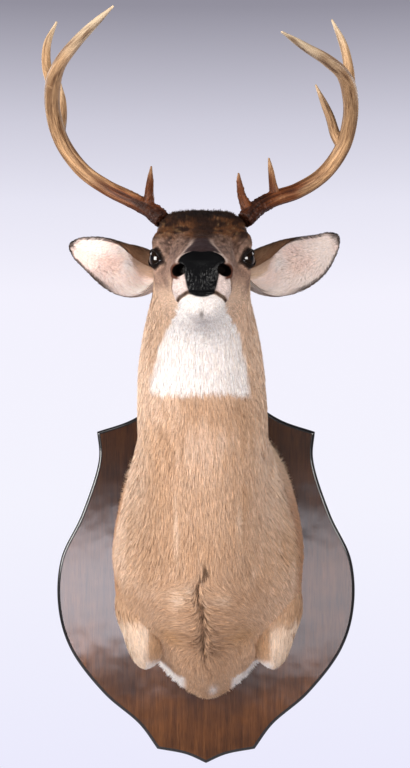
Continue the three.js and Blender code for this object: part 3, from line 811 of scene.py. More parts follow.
def trunk_marks(p, s):
    """The colours of the neck and the trunk; s is the share of the way round from the back line."""
    x, y, z = p.T
    near_back = np.minimum(s, 1 - s)
    wide = noise(p, 80, 1)
    streak = noise(p * (1, 1, 0.16), 7, 2)
    c = mix(TAN, TAN_WARM, smooth(-0.5, 0.7, wide + 0.4 * streak))
    c = mix(c, TAN_PALE, 0.75 * smooth(60, 110, np.abs(x)) * smooth(60, 220, z) + 0.35 * smooth(280, 360, z))
    c = mix(c, TAN_WARM, 0.7 * smooth(260, 160, z) * smooth(0.3, 0.45, near_back))
    belly = 0.30 * smooth(160, -60, z) * smooth(0.3, 0.5, near_back)
    c = mix(c, TAN_DEEP, belly + 0.15 * smooth(0.2, 0.8, streak))
    neck = smooth(-120, -200, y)
    c = mix(c, TAN_DEEP, 0.7 * neck * smooth(0.24, 0.12, near_back + 0.02 * wide))
    c = mix(c, BACK_BROWN, 0.85 * neck * smooth(0.11, 0.03, near_back + 0.015 * wide))
    c = brisket_marks(c, p, streak)
    # The white of the throat, straight along its lower edge.
    across = smooth(4.0, -4.0, np.abs(x) - np.interp(z, *THROAT_WIDE) + 4 * streak)
    throat = across * smooth(319, 329, z + 5 * streak + 1.5 * wide) * smooth(0.25, 0.32, near_back)
    return mix(c, WHITE, throat)


def brisket_marks(c, p, streak):
    """Light streaks and patches of the brisket, painted shade along its middle crease and in its whorl where
    the hair parts, and the pale hair between the legs.
    """
    x, y, z = p.T
    c = mix(c, CREAM, 0.55 * blob(p, (-40, -290, 120), (3.5, 40, 50)))
    c = mix(c, CREAM, 0.50 * blob(p, (56, -285, 134), (4, 40, 26)))
    low_patches = 0.65 * blob(p, (-42, -270, 12), (9, 40, 14)) + 0.5 * blob(p, (-22, -270, 28), (8, 40, 10))
    c = mix(c, CREAM, low_patches)
    c = mix(c, CREAM, 0.45 * blob(p, (30, -270, 8), (12, 40, 10)))
    # Painted shade in the crease of the brisket, where the hair parts over the groove.
    strong = 0.25 + 0.75 * smooth(12, 0, z) * smooth(-100, -84, z)
    c = mix(c, TAN_DEEP * 0.35, 0.95 * strong * crease_line(p, 2.6))
    c = mix(c, TAN_DEEP, 0.25 * crease_line(p, 9.0))
    # Painted shade in the whorl's slit and curl, where the hair parts.
    slit, curl = [distance_to_line(p * (1, 0, 1), line) for line in (WHORL_SLIT, WHORL_CURL)]
    c = mix(c, TAN_DEEP * 0.3, 0.9 * smooth(3.4, 1.6, np.minimum(slit, curl)) * smooth(-200, -240, y))
    for colour, share, middle, reach in SIDE_PATCHES:
        c = mix(c, colour, share * blob(mirrored(p), middle, reach))
    behind = 0.75 * smooth(-170, -120, y + 8 * streak)
    c = mix(c, SIDE_RED, behind * smooth(220, 130, z) * smooth(104, 128, np.abs(x)))
    edge = np.interp(np.abs(x), [40, 60, 78], [-139, -130, -106])
    fringe = smooth(2, -8, z - edge + 4 * streak) * smooth(34, 46, np.abs(x))
    c = mix(c, WHITE, 0.95 * fringe * smooth(96, 84, np.abs(x)))
    return mix(c, WHITE, 0.8 * blob(p, (8, -60, -168), (7, 60, 12)))


def crease_line(p, wide):
    """1 on the crease of the brisket, fading out over this distance to both sides."""
    x, y, z = np.moveaxis(p, -1, 0)
    return bell(x - np.interp(z, *CREASE), wide) * smooth(50, 34, z) * smooth(-150, -112, z) * (y < -60)


def head_marks(p, s):
    """The colours of the head; s is the share of the way round from the back line."""
    q = mirrored(p)
    near_back = np.minimum(s, 1 - s)
    patchy = noise(p, 16, 3)
    grain = noise(p * (1, 0.5, 1), 3.2, 4)
    streak = noise(p * (1, 1, 0.2), 6, 2)
    c = muzzle_marks(q, near_back, patchy, grain)
    c = forehead_marks(c, p, near_back, patchy, grain)
    c = eye_marks(c, q)
    c = chin_marks(c, q, near_back, streak)
    return nose_marks(c, q)


def muzzle_marks(q, near_back, patchy, grain):
    """The face's ground colours, and the muzzle's dark bridge between two pale lines and grey-brown sides."""
    x, y, z = q.T
    c = mix(FACE_TAN, FACE_GREY, smooth(-0.6, 0.6, patchy + 0.6 * grain))
    c = mix(c, TAN, 0.85 * smooth(500, 452, z + 6 * patchy) * smooth(-560, -500, y))
    c = mix(c, TAN_WARM, 0.5 * smooth(-385, -345, y) * smooth(530, 500, z))
    half = np.interp(y, [-570, -520, -450, -430], [25, 19, 8, 2])
    top = smooth(0.15, 0.12, near_back) * smooth(-425, -440, y)
    c = mix(c, FACE_GREY, 0.75 * smooth(474, 500, z))
    c = mix(c, UMBER, 0.62 * smooth(498, 532, z + 5 * patchy) * smooth(-0.6, 0.5, grain))
    c = mix(c, BRIDGE_GREY, top * smooth(half + 3, half - 4, x + 1.5 * grain))
    return mix(c, PALE_PINK, 0.5 * top * bell(x - half - 2 - patchy, 3.4) * smooth(-450, -490, y))


def forehead_marks(c, p, near_back, patchy, grain):
    """The forehead, the dark crown and the hair round the antlers."""
    q = mirrored(p)
    x, y, z = q.T
    tuft = noise(p * (0.75, 0.6, 1.2), 9, 7)
    gold = smooth(0.20, 0.80, noise(p * (1.1, 0.6, 1.3), 5, 17))
    brow = mix(RUSSET, UMBER, smooth(-0.25, 0.3, tuft + 0.4 * grain))
    brow = mix(brow, OCHRE * 0.5, 0.5 * gold * smooth(14, 24, x))
    brow = brow * np.exp(0.35 * noise(p * (1, 1, 0.3), 2.2, 18))[:, None]
    c = mix(c, brow, smooth(536, 556, z + 8 * patchy + 3 * grain) * smooth(-470, -440, y))
    c = mix(c, UMBER, 0.8 * smooth(20, 6, x + 3 * patchy) * smooth(520, 545, z) * smooth(-470, -440, y))
    crown = smooth(574, 585, z + 3 * patchy) * smooth(-300, -330, y)
    c = mix(c, NEAR_BLACK, 0.9 * crown)
    c = mix(c, UMBER, 0.8 * blob(q, (56, -340, 580), (27, 27, 22)))
    return mix(c, BACK_BROWN, 0.85 * smooth(-345, -315, y) * smooth(0.2, 0.1, near_back))


def eye_marks(c, q):
    """Round the eye: a pale ring, dark lids and the tear duct in front."""
    out, a, b, _ = eye_places(q)
    ring = bell(out - 1.75, 0.42) * (0.55 + 0.45 * smooth(-2, -12, b))
    c = mix(c, FACE_TAN * 1.15, 0.6 * ring)
    c = mix(c, UMBER, 0.9 * smooth(1.65, 1.3, out))
    duct = tear_duct(a - 26, b + 2 + 0.15 * (a - 20), 9, 2.6)
    c = mix(c, UMBER, 0.5 * duct * (out < 6))
    return mix(c, NEAR_BLACK, smooth(1.32, 1.18, out))


def chin_marks(c, q, near_back, streak):
    """The white lips and chin, painted shade along the lips' outer edge and under the chin, and the throat.
    """
    x, y, z = q.T
    side = np.interp(z, *LIP_SIDE)
    lip = smooth(1.0, -1.0, x - side + 0.8 * streak) * smooth(485, 480, z) * smooth(443, 446, z)
    # Painted shade along the white lip's outer edge, where the cheek behind it begins.
    outer = bell(x - side - 2.0, 2.1) * smooth(484, 478, z) * smooth(438, 444, z) * smooth(-536, -548, y)
    c = mix(c, TAN_DEEP * 0.42, 0.9 * outer)
    below = smooth(452, 432, z - 0.12 * (y + 560))
    c = mix(c, WHITE, below * smooth(38, 32, x + 2 * streak) * smooth(-470, -500, y))
    c = mix(c, LIP_WHITE, lip * smooth(-540, -552, y))
    under = smooth(0.33, 0.37, near_back) * smooth(452, 440, z)
    c = mix(c, WHITE, under * smooth(3, -3, x - np.interp(z, *THROAT_WIDE) + 4 * streak))
    c = mix(c, WHITE, smooth(31, 28, x) * smooth(459, 456, z) * smooth(-566, -572, y))
    c = mix(c, UMBER, 0.75 * blob(q, (0, -566, 431), (3.0, 30, 6.0)))
    # Painted shade along the chin's underside.
    return mix(c, CHIN_SHADE_GREY, 0.10 * blob(q, (0, -545, 423), (22, 22, 3.0)))


def nose_marks(c, q):
    """The pale rim of the pad, painted shade in the mouth's groove and along the fold of the jowl, the pad
    and the nostrils.
    """
    x, y, z = q.T
    rim = bell(x - np.interp(z, *PAD_HALF) - 2.2, 1.8) * smooth(494, 500, z) * smooth(12, 20, x)
    c = mix(c, PALE_PINK, 0.85 * rim * smooth(-552, -560, y) * (1 - pad_share(q)))
    # Painted shade in the mouth's groove.
    far = mouth_distance(q)
    c = mix(c, TAN_DEEP * 0.6, 0.8 * smooth(3.8, 2.2, far))
    c = mix(c, UMBER * 0.9, 0.9 * smooth(2.2, 1.4, far))
    # Painted shade along the fold of the jowl.
    jowl = bell(x - np.interp(z, *CHIN_SIDE), 1.7) * smooth(416, 424, z) * smooth(449, 444, z)
    c = mix(c, TAN_DEEP * 0.7, 0.75 * jowl * smooth(-520, -540, y))
    c = mix(c, PAD_BLACK, lower_rim(q))
    front, slit = nostril_places(q)
    c = mix(c, NOSTRIL_BROWN, smooth(1.5, 1.25, front) * (smooth(27, 33, x) * smooth(499, 494, z)))
    c = mix(c, UMBER, smooth(1.6, 0.9, slit) * smooth(0.9, 1.1, front))
    c = mix(c, PAD_BLACK, pad_share(q))
    return mix(c, NEAR_BLACK * 0.4, smooth(1.05, 0.92, front))


def body_marks(p, u, s):
    """The colours of the body at points without the lean, at places u along it and shares s round it."""
    head = smooth(9.3, 10.4, u + 0.25 * noise(p, 20, 8))
    return mix(trunk_marks(p, s), head_marks(p, s), head)


def ear_top(share, across):
    """1 along the upper edge of an ear as it stands, whichever part of its skin lies there."""
    front, back = [read_evenly(table, share) for table in (EAR_FRONT_RIM, EAR_BACK_RIM)]
    return bell(front - (front + back) * across - 86, 24)


def ear_back_marks(share, across, p):
    """The colours of an ear's back, at shares along it and across it."""
    c = mix(EAR_BROWN * 0.8, TAN_WARM, 0.3 * smooth(0.30, 0.0, share + 0.1 * noise(p, 14, 9)))
    c = mix(c, EAR_RIM, 0.9 * ear_top(share, across) * smooth(-0.05, 0.10, share))
    front = smooth(0.16, 0.03, across) * smooth(0.35, 0.6, share)
    low = smooth(0.88, 0.97, across) * smooth(0.45, 0.65, share)
    c = mix(c, WHITE, 0.8 * smooth(0.75, 0.92, across) * smooth(0.3, 0.1, share))
    return mix(c, EAR_RIM, 0.85 * np.maximum(np.maximum(front, low), smooth(0.86, 0.97, share)))


def ear_hollow_marks(share, across, p):
    """The colours of an ear's hollow, with painted shade in its deep middle, at shares along it and across
    it.
    """
    c = mix(EAR_PINK, EAR_CREAM, smooth(-0.6, 0.6, noise(p, 26, 10)))
    # Painted shade in the deep middle of the hollow.
    c = mix(c, EAR_CUP_SHADE, 0.6 * np.exp(-(((share - 0.45) / 0.16) ** 2) - ((across - 0.60) / 0.16) ** 2))
    c = mix(c, WHITE, 0.6 * smooth(0.60, 0.95, across) * smooth(0.7, 0.2, share))
    edge = np.interp(share, *EAR_FOLD) + 0.04 * noise(p, 9, 12)
    fold = mix(EAR_BROWN * 0.9, TAN, smooth(0.30, 0.62, across) * smooth(0.3, 0.1, share))
    c = mix(c, fold, 0.92 * smooth(0.04, -0.05, across - edge))
    c = mix(c, WHITE, 0.9 * np.exp(-(((share - 0.27) / 0.09) ** 2) - ((across - 0.56) / 0.08) ** 2))
    front = smooth(0.08, 0.03, across) * smooth(0.35, 0.6, share)
    low = smooth(0.925, 0.972, across + 0.015 * noise(p, 8, 13)) * smooth(0.30, 0.50, share)
    tip = 0.9 * smooth(0.90, 0.97, share + 0.03 * noise(p, 6, 11))
    return mix(c, EAR_RIM, np.maximum(0.85 * np.maximum(front, low), tip))


def leg_marks(p):
    """The colours of a leg's stub: red-brown outside, white inside, with a cream patch in front and painted
    shade on its inner side by the brisket.
    """
    x, y, z = np.abs(p[:, 0] - LEG_LEAN), p[:, 1], p[:, 2]
    streak = noise(p * (1, 1, 0.2), 7, 2)
    patch = smooth(-28, -50, z + 8 * streak) * smooth(-95, -125, y)
    c = mix(TAN_WARM, CREAM, patch * smooth(92, 102, x))
    # Painted shade on the leg's inner side, in the hollow beside the brisket.
    c = mix(c, OCHRE, 0.5 * smooth(98, 86, x) * smooth(-100, -80, z))
    c = mix(c, WHITE, 0.9 * smooth(108, 92, x + 4 * streak) * smooth(-96, -112, z))
    return mix(c, TAN_DEEP, 0.7 * smooth(-115, -80, y) * smooth(104, 120, x))


# ---- The coat ----

# The kinds of hair: how much sheen, and how far fine noise spreads its tone.
HAIR_LOOKS = {"coat": (0.03, 0.10), "face": (0.0, 0.16), "ear": (0.03, 0.08)}
EAR_BACK_DEEP, EAR_HOLLOW_DEEP = 1.6, 4.0  # how far the hair stands up on an ear
WALK_STEPS = 4
CLUMP_SEED = 17
CLUMP_SPREAD, TUFT_SPREAD = 0.22, 0.10  # how much the tips of clumps, and of tufts, differ in height
TIP_LOW, TIP_LEAST, TIP_MOST = 0.74, 0.3, 1.06  # the lowest clump's height, and the limits of every tip's
MIDDLE_RISE, MIDDLE_PULL = 0.72, 0.35  # shares of what the tip rises and is drawn to its clump
ROOT_SUNK, ROOT_WIDE = 0.4, 0.8  # how deep a root is in the skin, and its width as a share of the tuft's
ROLL = 0.7  # radians that a tuft is turned at most about its own length
SKIN_SHADE, OWN_SHADE = 0.72, 0.28  # shares of the skin's and of the tuft's own directions in its shading
TUFT_POINTS = 5  # two at the root, two in the middle and the tip
TUFT_PATCH = 0.003  # how wide a tuft is on the unwrap
PATCH_FROM, PATCH_SPAN = 0.004, 0.989  # where the tufts' roots are on the unwrap, from 0 to 1
FACES_SHARE = 0.6  # how much of the shading is by the one direction, where a coat has it
WARM_TONE = (1.02, 1.0, 0.97)  # a warm tone, which tufts have more or less of
MIDDLE_TONE = 0.95


class Ground:
    """A grid of skin points under the coat's outer limit, read at any row and column."""

    def __init__(self, skin, limit, closed):
        self.skin, self.limit, self.closed = skin, limit, closed
        self.rows, self.columns = skin.shape[:2]
        self.normal = away_from(grid_normals(limit, closed), limit, skin)
        self.step_row = np.maximum(np.linalg.norm(np.gradient(limit, axis=0), axis=-1), 0.15)
        across = (np.roll(limit, -1, 1) - np.roll(limit, 1, 1)) / 2 if closed else np.gradient(limit, axis=1)
        self.step_column = np.maximum(np.linalg.norm(across, axis=-1), 0.15)

    def read(self, table, row, column):
        """Values at any rows and columns, from a table that has one for each of the grid's points."""
        row = np.clip(row, 0, self.rows - 1.001)
        i = row.astype(int)
        t = row - i
        if self.closed:
            column = column % self.columns
            j = column.astype(int) % self.columns
            k = (j + 1) % self.columns
        else:
            column = np.clip(column, 0, self.columns - 1.001)
            j = column.astype(int)
            k = j + 1
        w = column - np.floor(column)
        if table.ndim > 2:
            t, w = t[..., None], w[..., None]
        first = table[i, j] * (1 - t) + table[i + 1, j] * t
        second = table[i, k] * (1 - t) + table[i + 1, k] * t
        return first * (1 - w) + second * w

    def places(self, rng, count, weight):
        """Random places, spread by area times the weight given at each quad's corner."""
        area = (self.step_row * self.step_column * weight)[:-1, : None if self.closed else -1]
        order = np.cumsum(area.ravel())
        picked = np.searchsorted(order, rng.random(count) * order[-1])
        picked = np.minimum(picked, area.size - 1)
        row, column = np.divmod(picked, area.shape[1])
        return row + rng.random(count), column + rng.random(count)

    def walk(self, row, column, length, turn):
        """The middle and the end of a walk along the surface; a turn of 0 is towards the first row."""
        stops = []
        for _ in range(WALK_STEPS):
            down = self.read(self.step_row, row, column)
            across = self.read(self.step_column, row, column)
            row = row - length / WALK_STEPS * np.cos(turn) / down
            column = column + length / WALK_STEPS * np.sin(turn) / across
            stops.append((row, column))
        return stops[WALK_STEPS // 2 - 1], stops[-1]


def cell_middles(a, b, size):
    """The middle of the jittered cell that each place belongs to, and a random number of that cell."""
    low = np.stack([np.floor(a / size), np.floor(b / size)], axis=-1).astype(np.int64)
    best = np.full(len(a), 1e9)
    found = np.zeros((len(a), 3))
    for step in ((i, j) for i in (-1, 0, 1) for j in (-1, 0, 1)):
        cell = low + step
        key = (cell[:, 0] * CELL_KEYS[0]) ^ (cell[:, 1] * CELL_KEYS[1]) ^ (CLUMP_SEED * CELL_KEYS[2])
        rolls = []
        for number in MIX_KEYS:
            mixed = ((key ^ (key >> 13)) * number) & 0x7FFFFFFF
            rolls.append(((mixed ^ (mixed >> 16)) & 0xFFFF) / 65535.0)
        x, y = (cell[:, 0] + rolls[0]) * size, (cell[:, 1] + rolls[1]) * size
        far = (x - a) ** 2 + (y - b) ** 2
        nearer = far < best
        best[nearer] = far[nearer]
        found[nearer] = np.stack([x, y, rolls[2]], axis=-1)[nearer]
    return found


def grow(name, ground, row, column, coat, rng, material, slot):
    """One piece of the coat: a tapered tuft at each place, lying along the body between skin and limit.

    coat holds each tuft's length, width and turn, the size of the clumps and how strongly their tufts draw
    together, functions that lift it and give its colours, how much its tone varies, the tones of root and
    tip, and the lean to add. It may also hold keep_off, the y that no point passes, root_shade, and faces,
    a direction that it is mostly shaded by."""
    count = len(row)
    a = row * ground.read(ground.step_row, row, column)
    b = column * ground.read(ground.step_column, row, column)
    clump = cell_middles(a, b, coat["clump"])
    middle, tip = ground.walk(row, column, coat["length"], coat["turn"])
    draw = coat["draw"] / ground.read(ground.step_column, row, column)
    pull = np.clip(clump[:, 1] - b, -coat["clump"], coat["clump"]) * draw
    tip = (tip[0], tip[1] + pull)
    middle = (middle[0], middle[1] + pull * MIDDLE_PULL)
    high = TIP_LOW + CLUMP_SPREAD * clump[:, 2] + TUFT_SPREAD * rng.standard_normal(count)
    high = np.clip(high, TIP_LEAST, TIP_MOST)
    root = ground.read(ground.skin, row, column)
    layers = []
    for place, share in ((middle, MIDDLE_RISE * high), (tip, high)):
        low, top = ground.read(ground.skin, *place), ground.read(ground.limit, *place)
        layers.append(low + (top - low) * share[:, None] + coat["lift"](*place, share))
    normal = ground.read(ground.normal, row, column)
    root = root - normal * ROOT_SUNK
    flat_side = unit(np.cross(layers[1] - root, normal))
    roll = rng.uniform(-ROLL, ROLL, count)[:, None]
    side = flat_side * np.cos(roll) + normal * np.sin(roll)
    made = tuft_mesh(name, root, layers, side, coat, material)
    soft = tuft_normals(side, layers[1] - root, normal, coat)
    soft_tip = unit(soft + ground.read(ground.normal, *middle) - normal)
    normals = np.stack([soft, soft, soft_tip, soft_tip, soft_tip], axis=1).reshape(-1, 3)
    made.data.normals_split_custom_set_from_vertices(normals.astype(np.float32))
    paint(made, "tint", tuft_colours(coat["marks"](middle, tip), clump, coat, rng))
    uv_patches(made, row / (ground.rows - 1), column / ground.columns)
    return on_frame(made, slot)


def tuft_mesh(name, root, layers, side, coat, material):
    """Tufts from their roots, their middles and tips in layers, and the directions that they are wide in."""
    middle, tip = layers
    half = (coat["width"] / 2)[:, None]
    low = side * half * ROOT_WIDE
    rim = np.stack([root - low, root + low, middle - side * half, middle + side * half, tip], axis=1)
    rim = rim + (coat["lean_x"], 0, 0)
    if "keep_off" in coat:
        rim[..., 1] = np.minimum(rim[..., 1], coat["keep_off"][:, None])
    start = np.arange(len(root))[:, None] * TUFT_POINTS
    return mesh_object(name, rim.reshape(-1, 3), [start + (0, 1, 3, 2), start + (2, 3, 4)], material)


def tuft_normals(side, way, normal, coat):
    """The directions that tufts are shaded by: mostly the skin's own, so the coat shades as one surface."""
    own = np.cross(side, way)
    soft = unit(SKIN_SHADE * normal + OWN_SHADE * np.sign(dots(own, normal)) * unit(own))
    if "faces" in coat:
        soft = unit((1 - FACES_SHARE) * soft + FACES_SHARE * np.array(coat["faces"]))
    return soft


def tuft_colours(colour, clump, coat, rng):
    """The tint at each tuft's points: the markings, with a tone for each tuft and a darker root."""
    count = len(colour)
    shade = np.exp(coat["vary"] * rng.standard_normal(count) + 0.10 * (clump[:, 2] - 0.5))[:, None]
    root_tone, tip_tone = coat["tones"]
    tones = np.array([root_tone, root_tone, MIDDLE_TONE, MIDDLE_TONE, tip_tone])[None, :, None]
    warm = np.array(WARM_TONE) ** (1.2 * rng.standard_normal(count))[:, None]
    tint = (colour * shade * warm)[:, None] * tones
    # Painted shade on the roots, where the coat has it.
    if "root_shade" in coat:
        tint[:, :2] *= coat["root_shade"][:, None, None]
    return np.clip(tint, 0.002, 0.96).reshape(-1, 3)


def uv_patches(obj, down, across):
    """An unwrap with each tuft on a patch of its own, at its root's place on the unwrapped skin."""
    span = []
    for value in (across, down):
        low, high = value.min(), value.max()
        span.append(PATCH_FROM + PATCH_SPAN * (value - low) / max(high - low, 1e-6))
    size = TUFT_PATCH
    middle = 0.55 * size
    corner = np.array([(0, 0), (size, 0), (0.1 * size, middle), (0.9 * size, middle), (size / 2, size)])
    patch = np.stack(span, axis=1)[:, None] + corner[None]
    unwrap(obj, patch.reshape(-1, 2))


# ---- Materials ----

PUPIL = (0.42, 0.20)  # half its length and half its height, as shares of the ball's radius
ALONG_GRAIN = 0.06  # the wood's noise along the board, as a share of its scale across it


def new_material(name, **settings):
    """A material, its tree and its shader; settings name the shader's sockets."""
    material = bpy.data.materials.new(name)
    material.use_nodes = True
    shader = material.node_tree.nodes["Principled BSDF"]
    for key, value in settings.items():
        shader.inputs[key.replace("_", " ")].default_value = value
    return material, material.node_tree, shader


def add(tree, kind, **settings):
    """A node; settings name its options, or its sockets where the name starts with a capital letter."""
    node = tree.nodes.new(kind)
    for key, value in settings.items():
        if key[0].isupper():
            node.inputs[key.replace("_", " ")].default_value = value
        else:
            setattr(node, key, value)
    return node


def link(tree, out, into):
    tree.links.new(out, into)


def attribute(tree, name, kind="Fac"):
    """What the mesh's attribute holds, as a number, a Color or a Vector."""
    return add(tree, "ShaderNodeAttribute", attribute_name=name).outputs[kind]


def coordinate(tree, kind="Object"):
    return add(tree, "ShaderNodeTexCoord").outputs[kind]


def noise_node(tree, scale, detail=3.0, stretch=None, rough=0.55, place=None):
    """Noise in the object's own metres or at given places; a stretch scales it along each axis."""
    place = place or coordinate(tree)
    node = add(tree, "ShaderNodeTexNoise", Scale=scale, Detail=detail, Roughness=rough)
    if stretch:
        mapping = add(tree, "ShaderNodeMapping", Scale=stretch)
        link(tree, place, mapping.inputs["Vector"])
        place = mapping.outputs[0]
    link(tree, place, node.inputs["Vector"])
    return node.outputs["Fac"]


def ranged(tree, value, low, high, to_low, to_high):
    """The value, moved evenly from one range to another."""
    node = add(tree, "ShaderNodeMapRange")
    for key, number in (("From Min", low), ("From Max", high), ("To Min", to_low), ("To Max", to_high)):
        node.inputs[key].default_value = number
    link(tree, value, node.inputs["Value"])
    return node.outputs[0]


def ramp(tree, value, *stops):
    """A colour read from stops, each a place from 0 to 1 and the colour there."""
    node = add(tree, "ShaderNodeValToRGB")
    while len(node.color_ramp.elements) < len(stops):
        node.color_ramp.elements.new(0.5)
    for element, (place, colour) in zip(node.color_ramp.elements, stops):
        element.position = place
        element.color = (*colour, 1)
    link(tree, value, node.inputs[0])
    return node.outputs[0]


def blend(tree, kind, share, first, second):
    """Mixes two colours; the share is a number or a socket, and so is each colour."""
    node = add(tree, "ShaderNodeMix", data_type="RGBA", blend_type=kind)
    for value, socket in ((share, node.inputs[0]), (first, node.inputs[6]), (second, node.inputs[7])):
        if isinstance(value, bpy.types.NodeSocket):
            link(tree, value, socket)
        else:
            socket.default_value = value if isinstance(value, float) else (*value, 1)
    return node.outputs[2]


def bump(tree, height, strength, distance):
    """Directions tilted by a height, as deep as the distance in metres."""
    node = add(tree, "ShaderNodeBump", Strength=strength, Distance=distance)
    link(tree, height, node.inputs["Height"])
    return node.outputs[0]


def coat_material(name, sheen, spread):
    """Hair in the colours of the tint attribute, spread a little lighter and darker by fine noise."""
    settings = {"Specular_IOR_Level": 0.12, "Sheen_Weight": sheen, "Sheen_Roughness": 0.45}
    material, tree, shader = new_material(name, **settings)
    grey = ranged(tree, noise_node(tree, 300.0, 2.0), 0.25, 0.75, 1 - spread, 1 + spread)
    tone = add(tree, "ShaderNodeCombineColor")
    for channel in ("Red", "Green", "Blue"):
        link(tree, grey, tone.inputs[channel])
    colour = blend(tree, "MULTIPLY", 1.0, attribute(tree, "tint", "Color"), tone.outputs[0])
    link(tree, colour, shader.inputs["Base Color"])
    link(tree, ranged(tree, noise_node(tree, 90.0), 0.3, 0.7, 0.52, 0.74), shader.inputs["Roughness"])
    return material


def skin_material():
    """Hide with fine short hair as bump, and bare wet skin with pebbles where the wet attribute is 1."""
    material, tree, shader = new_material("hide", Coat_Roughness=0.12)
    tint, wet = attribute(tree, "tint", "Color"), attribute(tree, "wet")
    hairs = noise_node(tree, 1.0, 3.0, (1500.0, 170.0, 1.0), 0.6, attribute(tree, "lie", "Vector"))
    voronoi = add(tree, "ShaderNodeTexVoronoi", Scale=900.0, feature="SMOOTH_F1")
    link(tree, coordinate(tree), voronoi.inputs["Vector"])
    pebbles = voronoi.outputs["Distance"]
    dark = ramp(tree, hairs, (0.30, (0.50, 0.46, 0.44)), (0.62, (1.12, 1.10, 1.08)))
    furry = blend(tree, "MULTIPLY", 0.9, tint, dark)
    link(tree, blend(tree, "MIX", wet, furry, tint), shader.inputs["Base Color"])
    link(tree, ranged(tree, wet, 0.0, 1.0, 0.78, 0.30), shader.inputs["Roughness"])
    height = add(tree, "ShaderNodeMix", data_type="FLOAT")
    for socket, value in ((0, wet), (2, hairs), (3, pebbles)):
        link(tree, value, height.inputs[socket])
    link(tree, bump(tree, height.outputs[0], 0.7, 0.0007), shader.inputs["Normal"])
    link(tree, ranged(tree, wet, 0.0, 0.5, 0.08, 0.01), shader.inputs["Specular IOR Level"])
    link(tree, ranged(tree, wet, 0.5, 1.0, 0.0, 0.13), shader.inputs["Coat Weight"])
    link(tree, bump(tree, pebbles, 0.25, 0.0008), shader.inputs["Coat Normal"])
    return material


def antler_material():
    """Horn, dark in its grooves, with streaks along it that are fainter where the age attribute is high."""
    material, tree, shader = new_material("antler", Specular_IOR_Level=0.2)
    grain = noise_node(tree, 1.0, 5.0, (560.0, 560.0, 40.0), 0.65, attribute(tree, "lie", "Vector"))
    streaks = ramp(tree, grain, (0.32, (0.30, 0.22, 0.17)), (0.50, (0.90, 0.87, 0.84)),
                   (0.70, (1.45, 1.42, 1.38)))
    young = ranged(tree, attribute(tree, "age"), 0.45, 0.85, 0.95, 0.40)
    worn = blend(tree, "MULTIPLY", young, attribute(tree, "tint", "Color"), streaks)
    groove = attribute(tree, "groove")
    deep = ramp(tree, groove, (0.25, (0.36, 0.27, 0.21)), (0.52, (0.95, 0.94, 0.92)),
                (0.9, (1.30, 1.28, 1.24)))
    link(tree, blend(tree, "MULTIPLY", 0.9, worn, deep), shader.inputs["Base Color"])
    link(tree, ranged(tree, grain, 0.3, 0.7, 0.62, 0.42), shader.inputs["Roughness"])
    link(tree, bump(tree, grain, 0.7, 0.0006), shader.inputs["Normal"])
    return material


def math_node(tree, operation, first, second):
    """Works on two values, each a socket or a number."""
    node = add(tree, "ShaderNodeMath", operation=operation)
    for value, socket in zip((first, second), node.inputs):
        if isinstance(value, float):
            socket.default_value = value
        else:
            link(tree, value, socket)
    return node.outputs[0]


def eye_material():
    """Dark brown glass with a long level pupil, by the place on the ball that the look attribute gives."""
    material, tree, shader = new_material("eye_glass", Specular_IOR_Level=0.6)
    look = add(tree, "ShaderNodeSeparateXYZ")
    link(tree, attribute(tree, "look", "Vector"), look.inputs[0])
    power = []
    for axis, radius in enumerate(PUPIL):
        out = math_node(tree, "DIVIDE", look.outputs[axis], radius)
        power.append(math_node(tree, "MULTIPLY", out, out))
    fibres = noise_node(tree, 900.0, 3.0)
    iris = ramp(tree, fibres, (0.3, (0.005, 0.003, 0.002)), (0.7, (0.016, 0.008, 0.004)))
    pupil = ranged(tree, math_node(tree, "ADD", *power), 0.8, 1.3, 1.0, 0.0)
    link(tree, blend(tree, "MIX", pupil, iris, (0.002, 0.002, 0.003)), shader.inputs["Base Color"])
    link(tree, ranged(tree, fibres, 0.0, 1.0, 0.035, 0.065), shader.inputs["Roughness"])
    return material


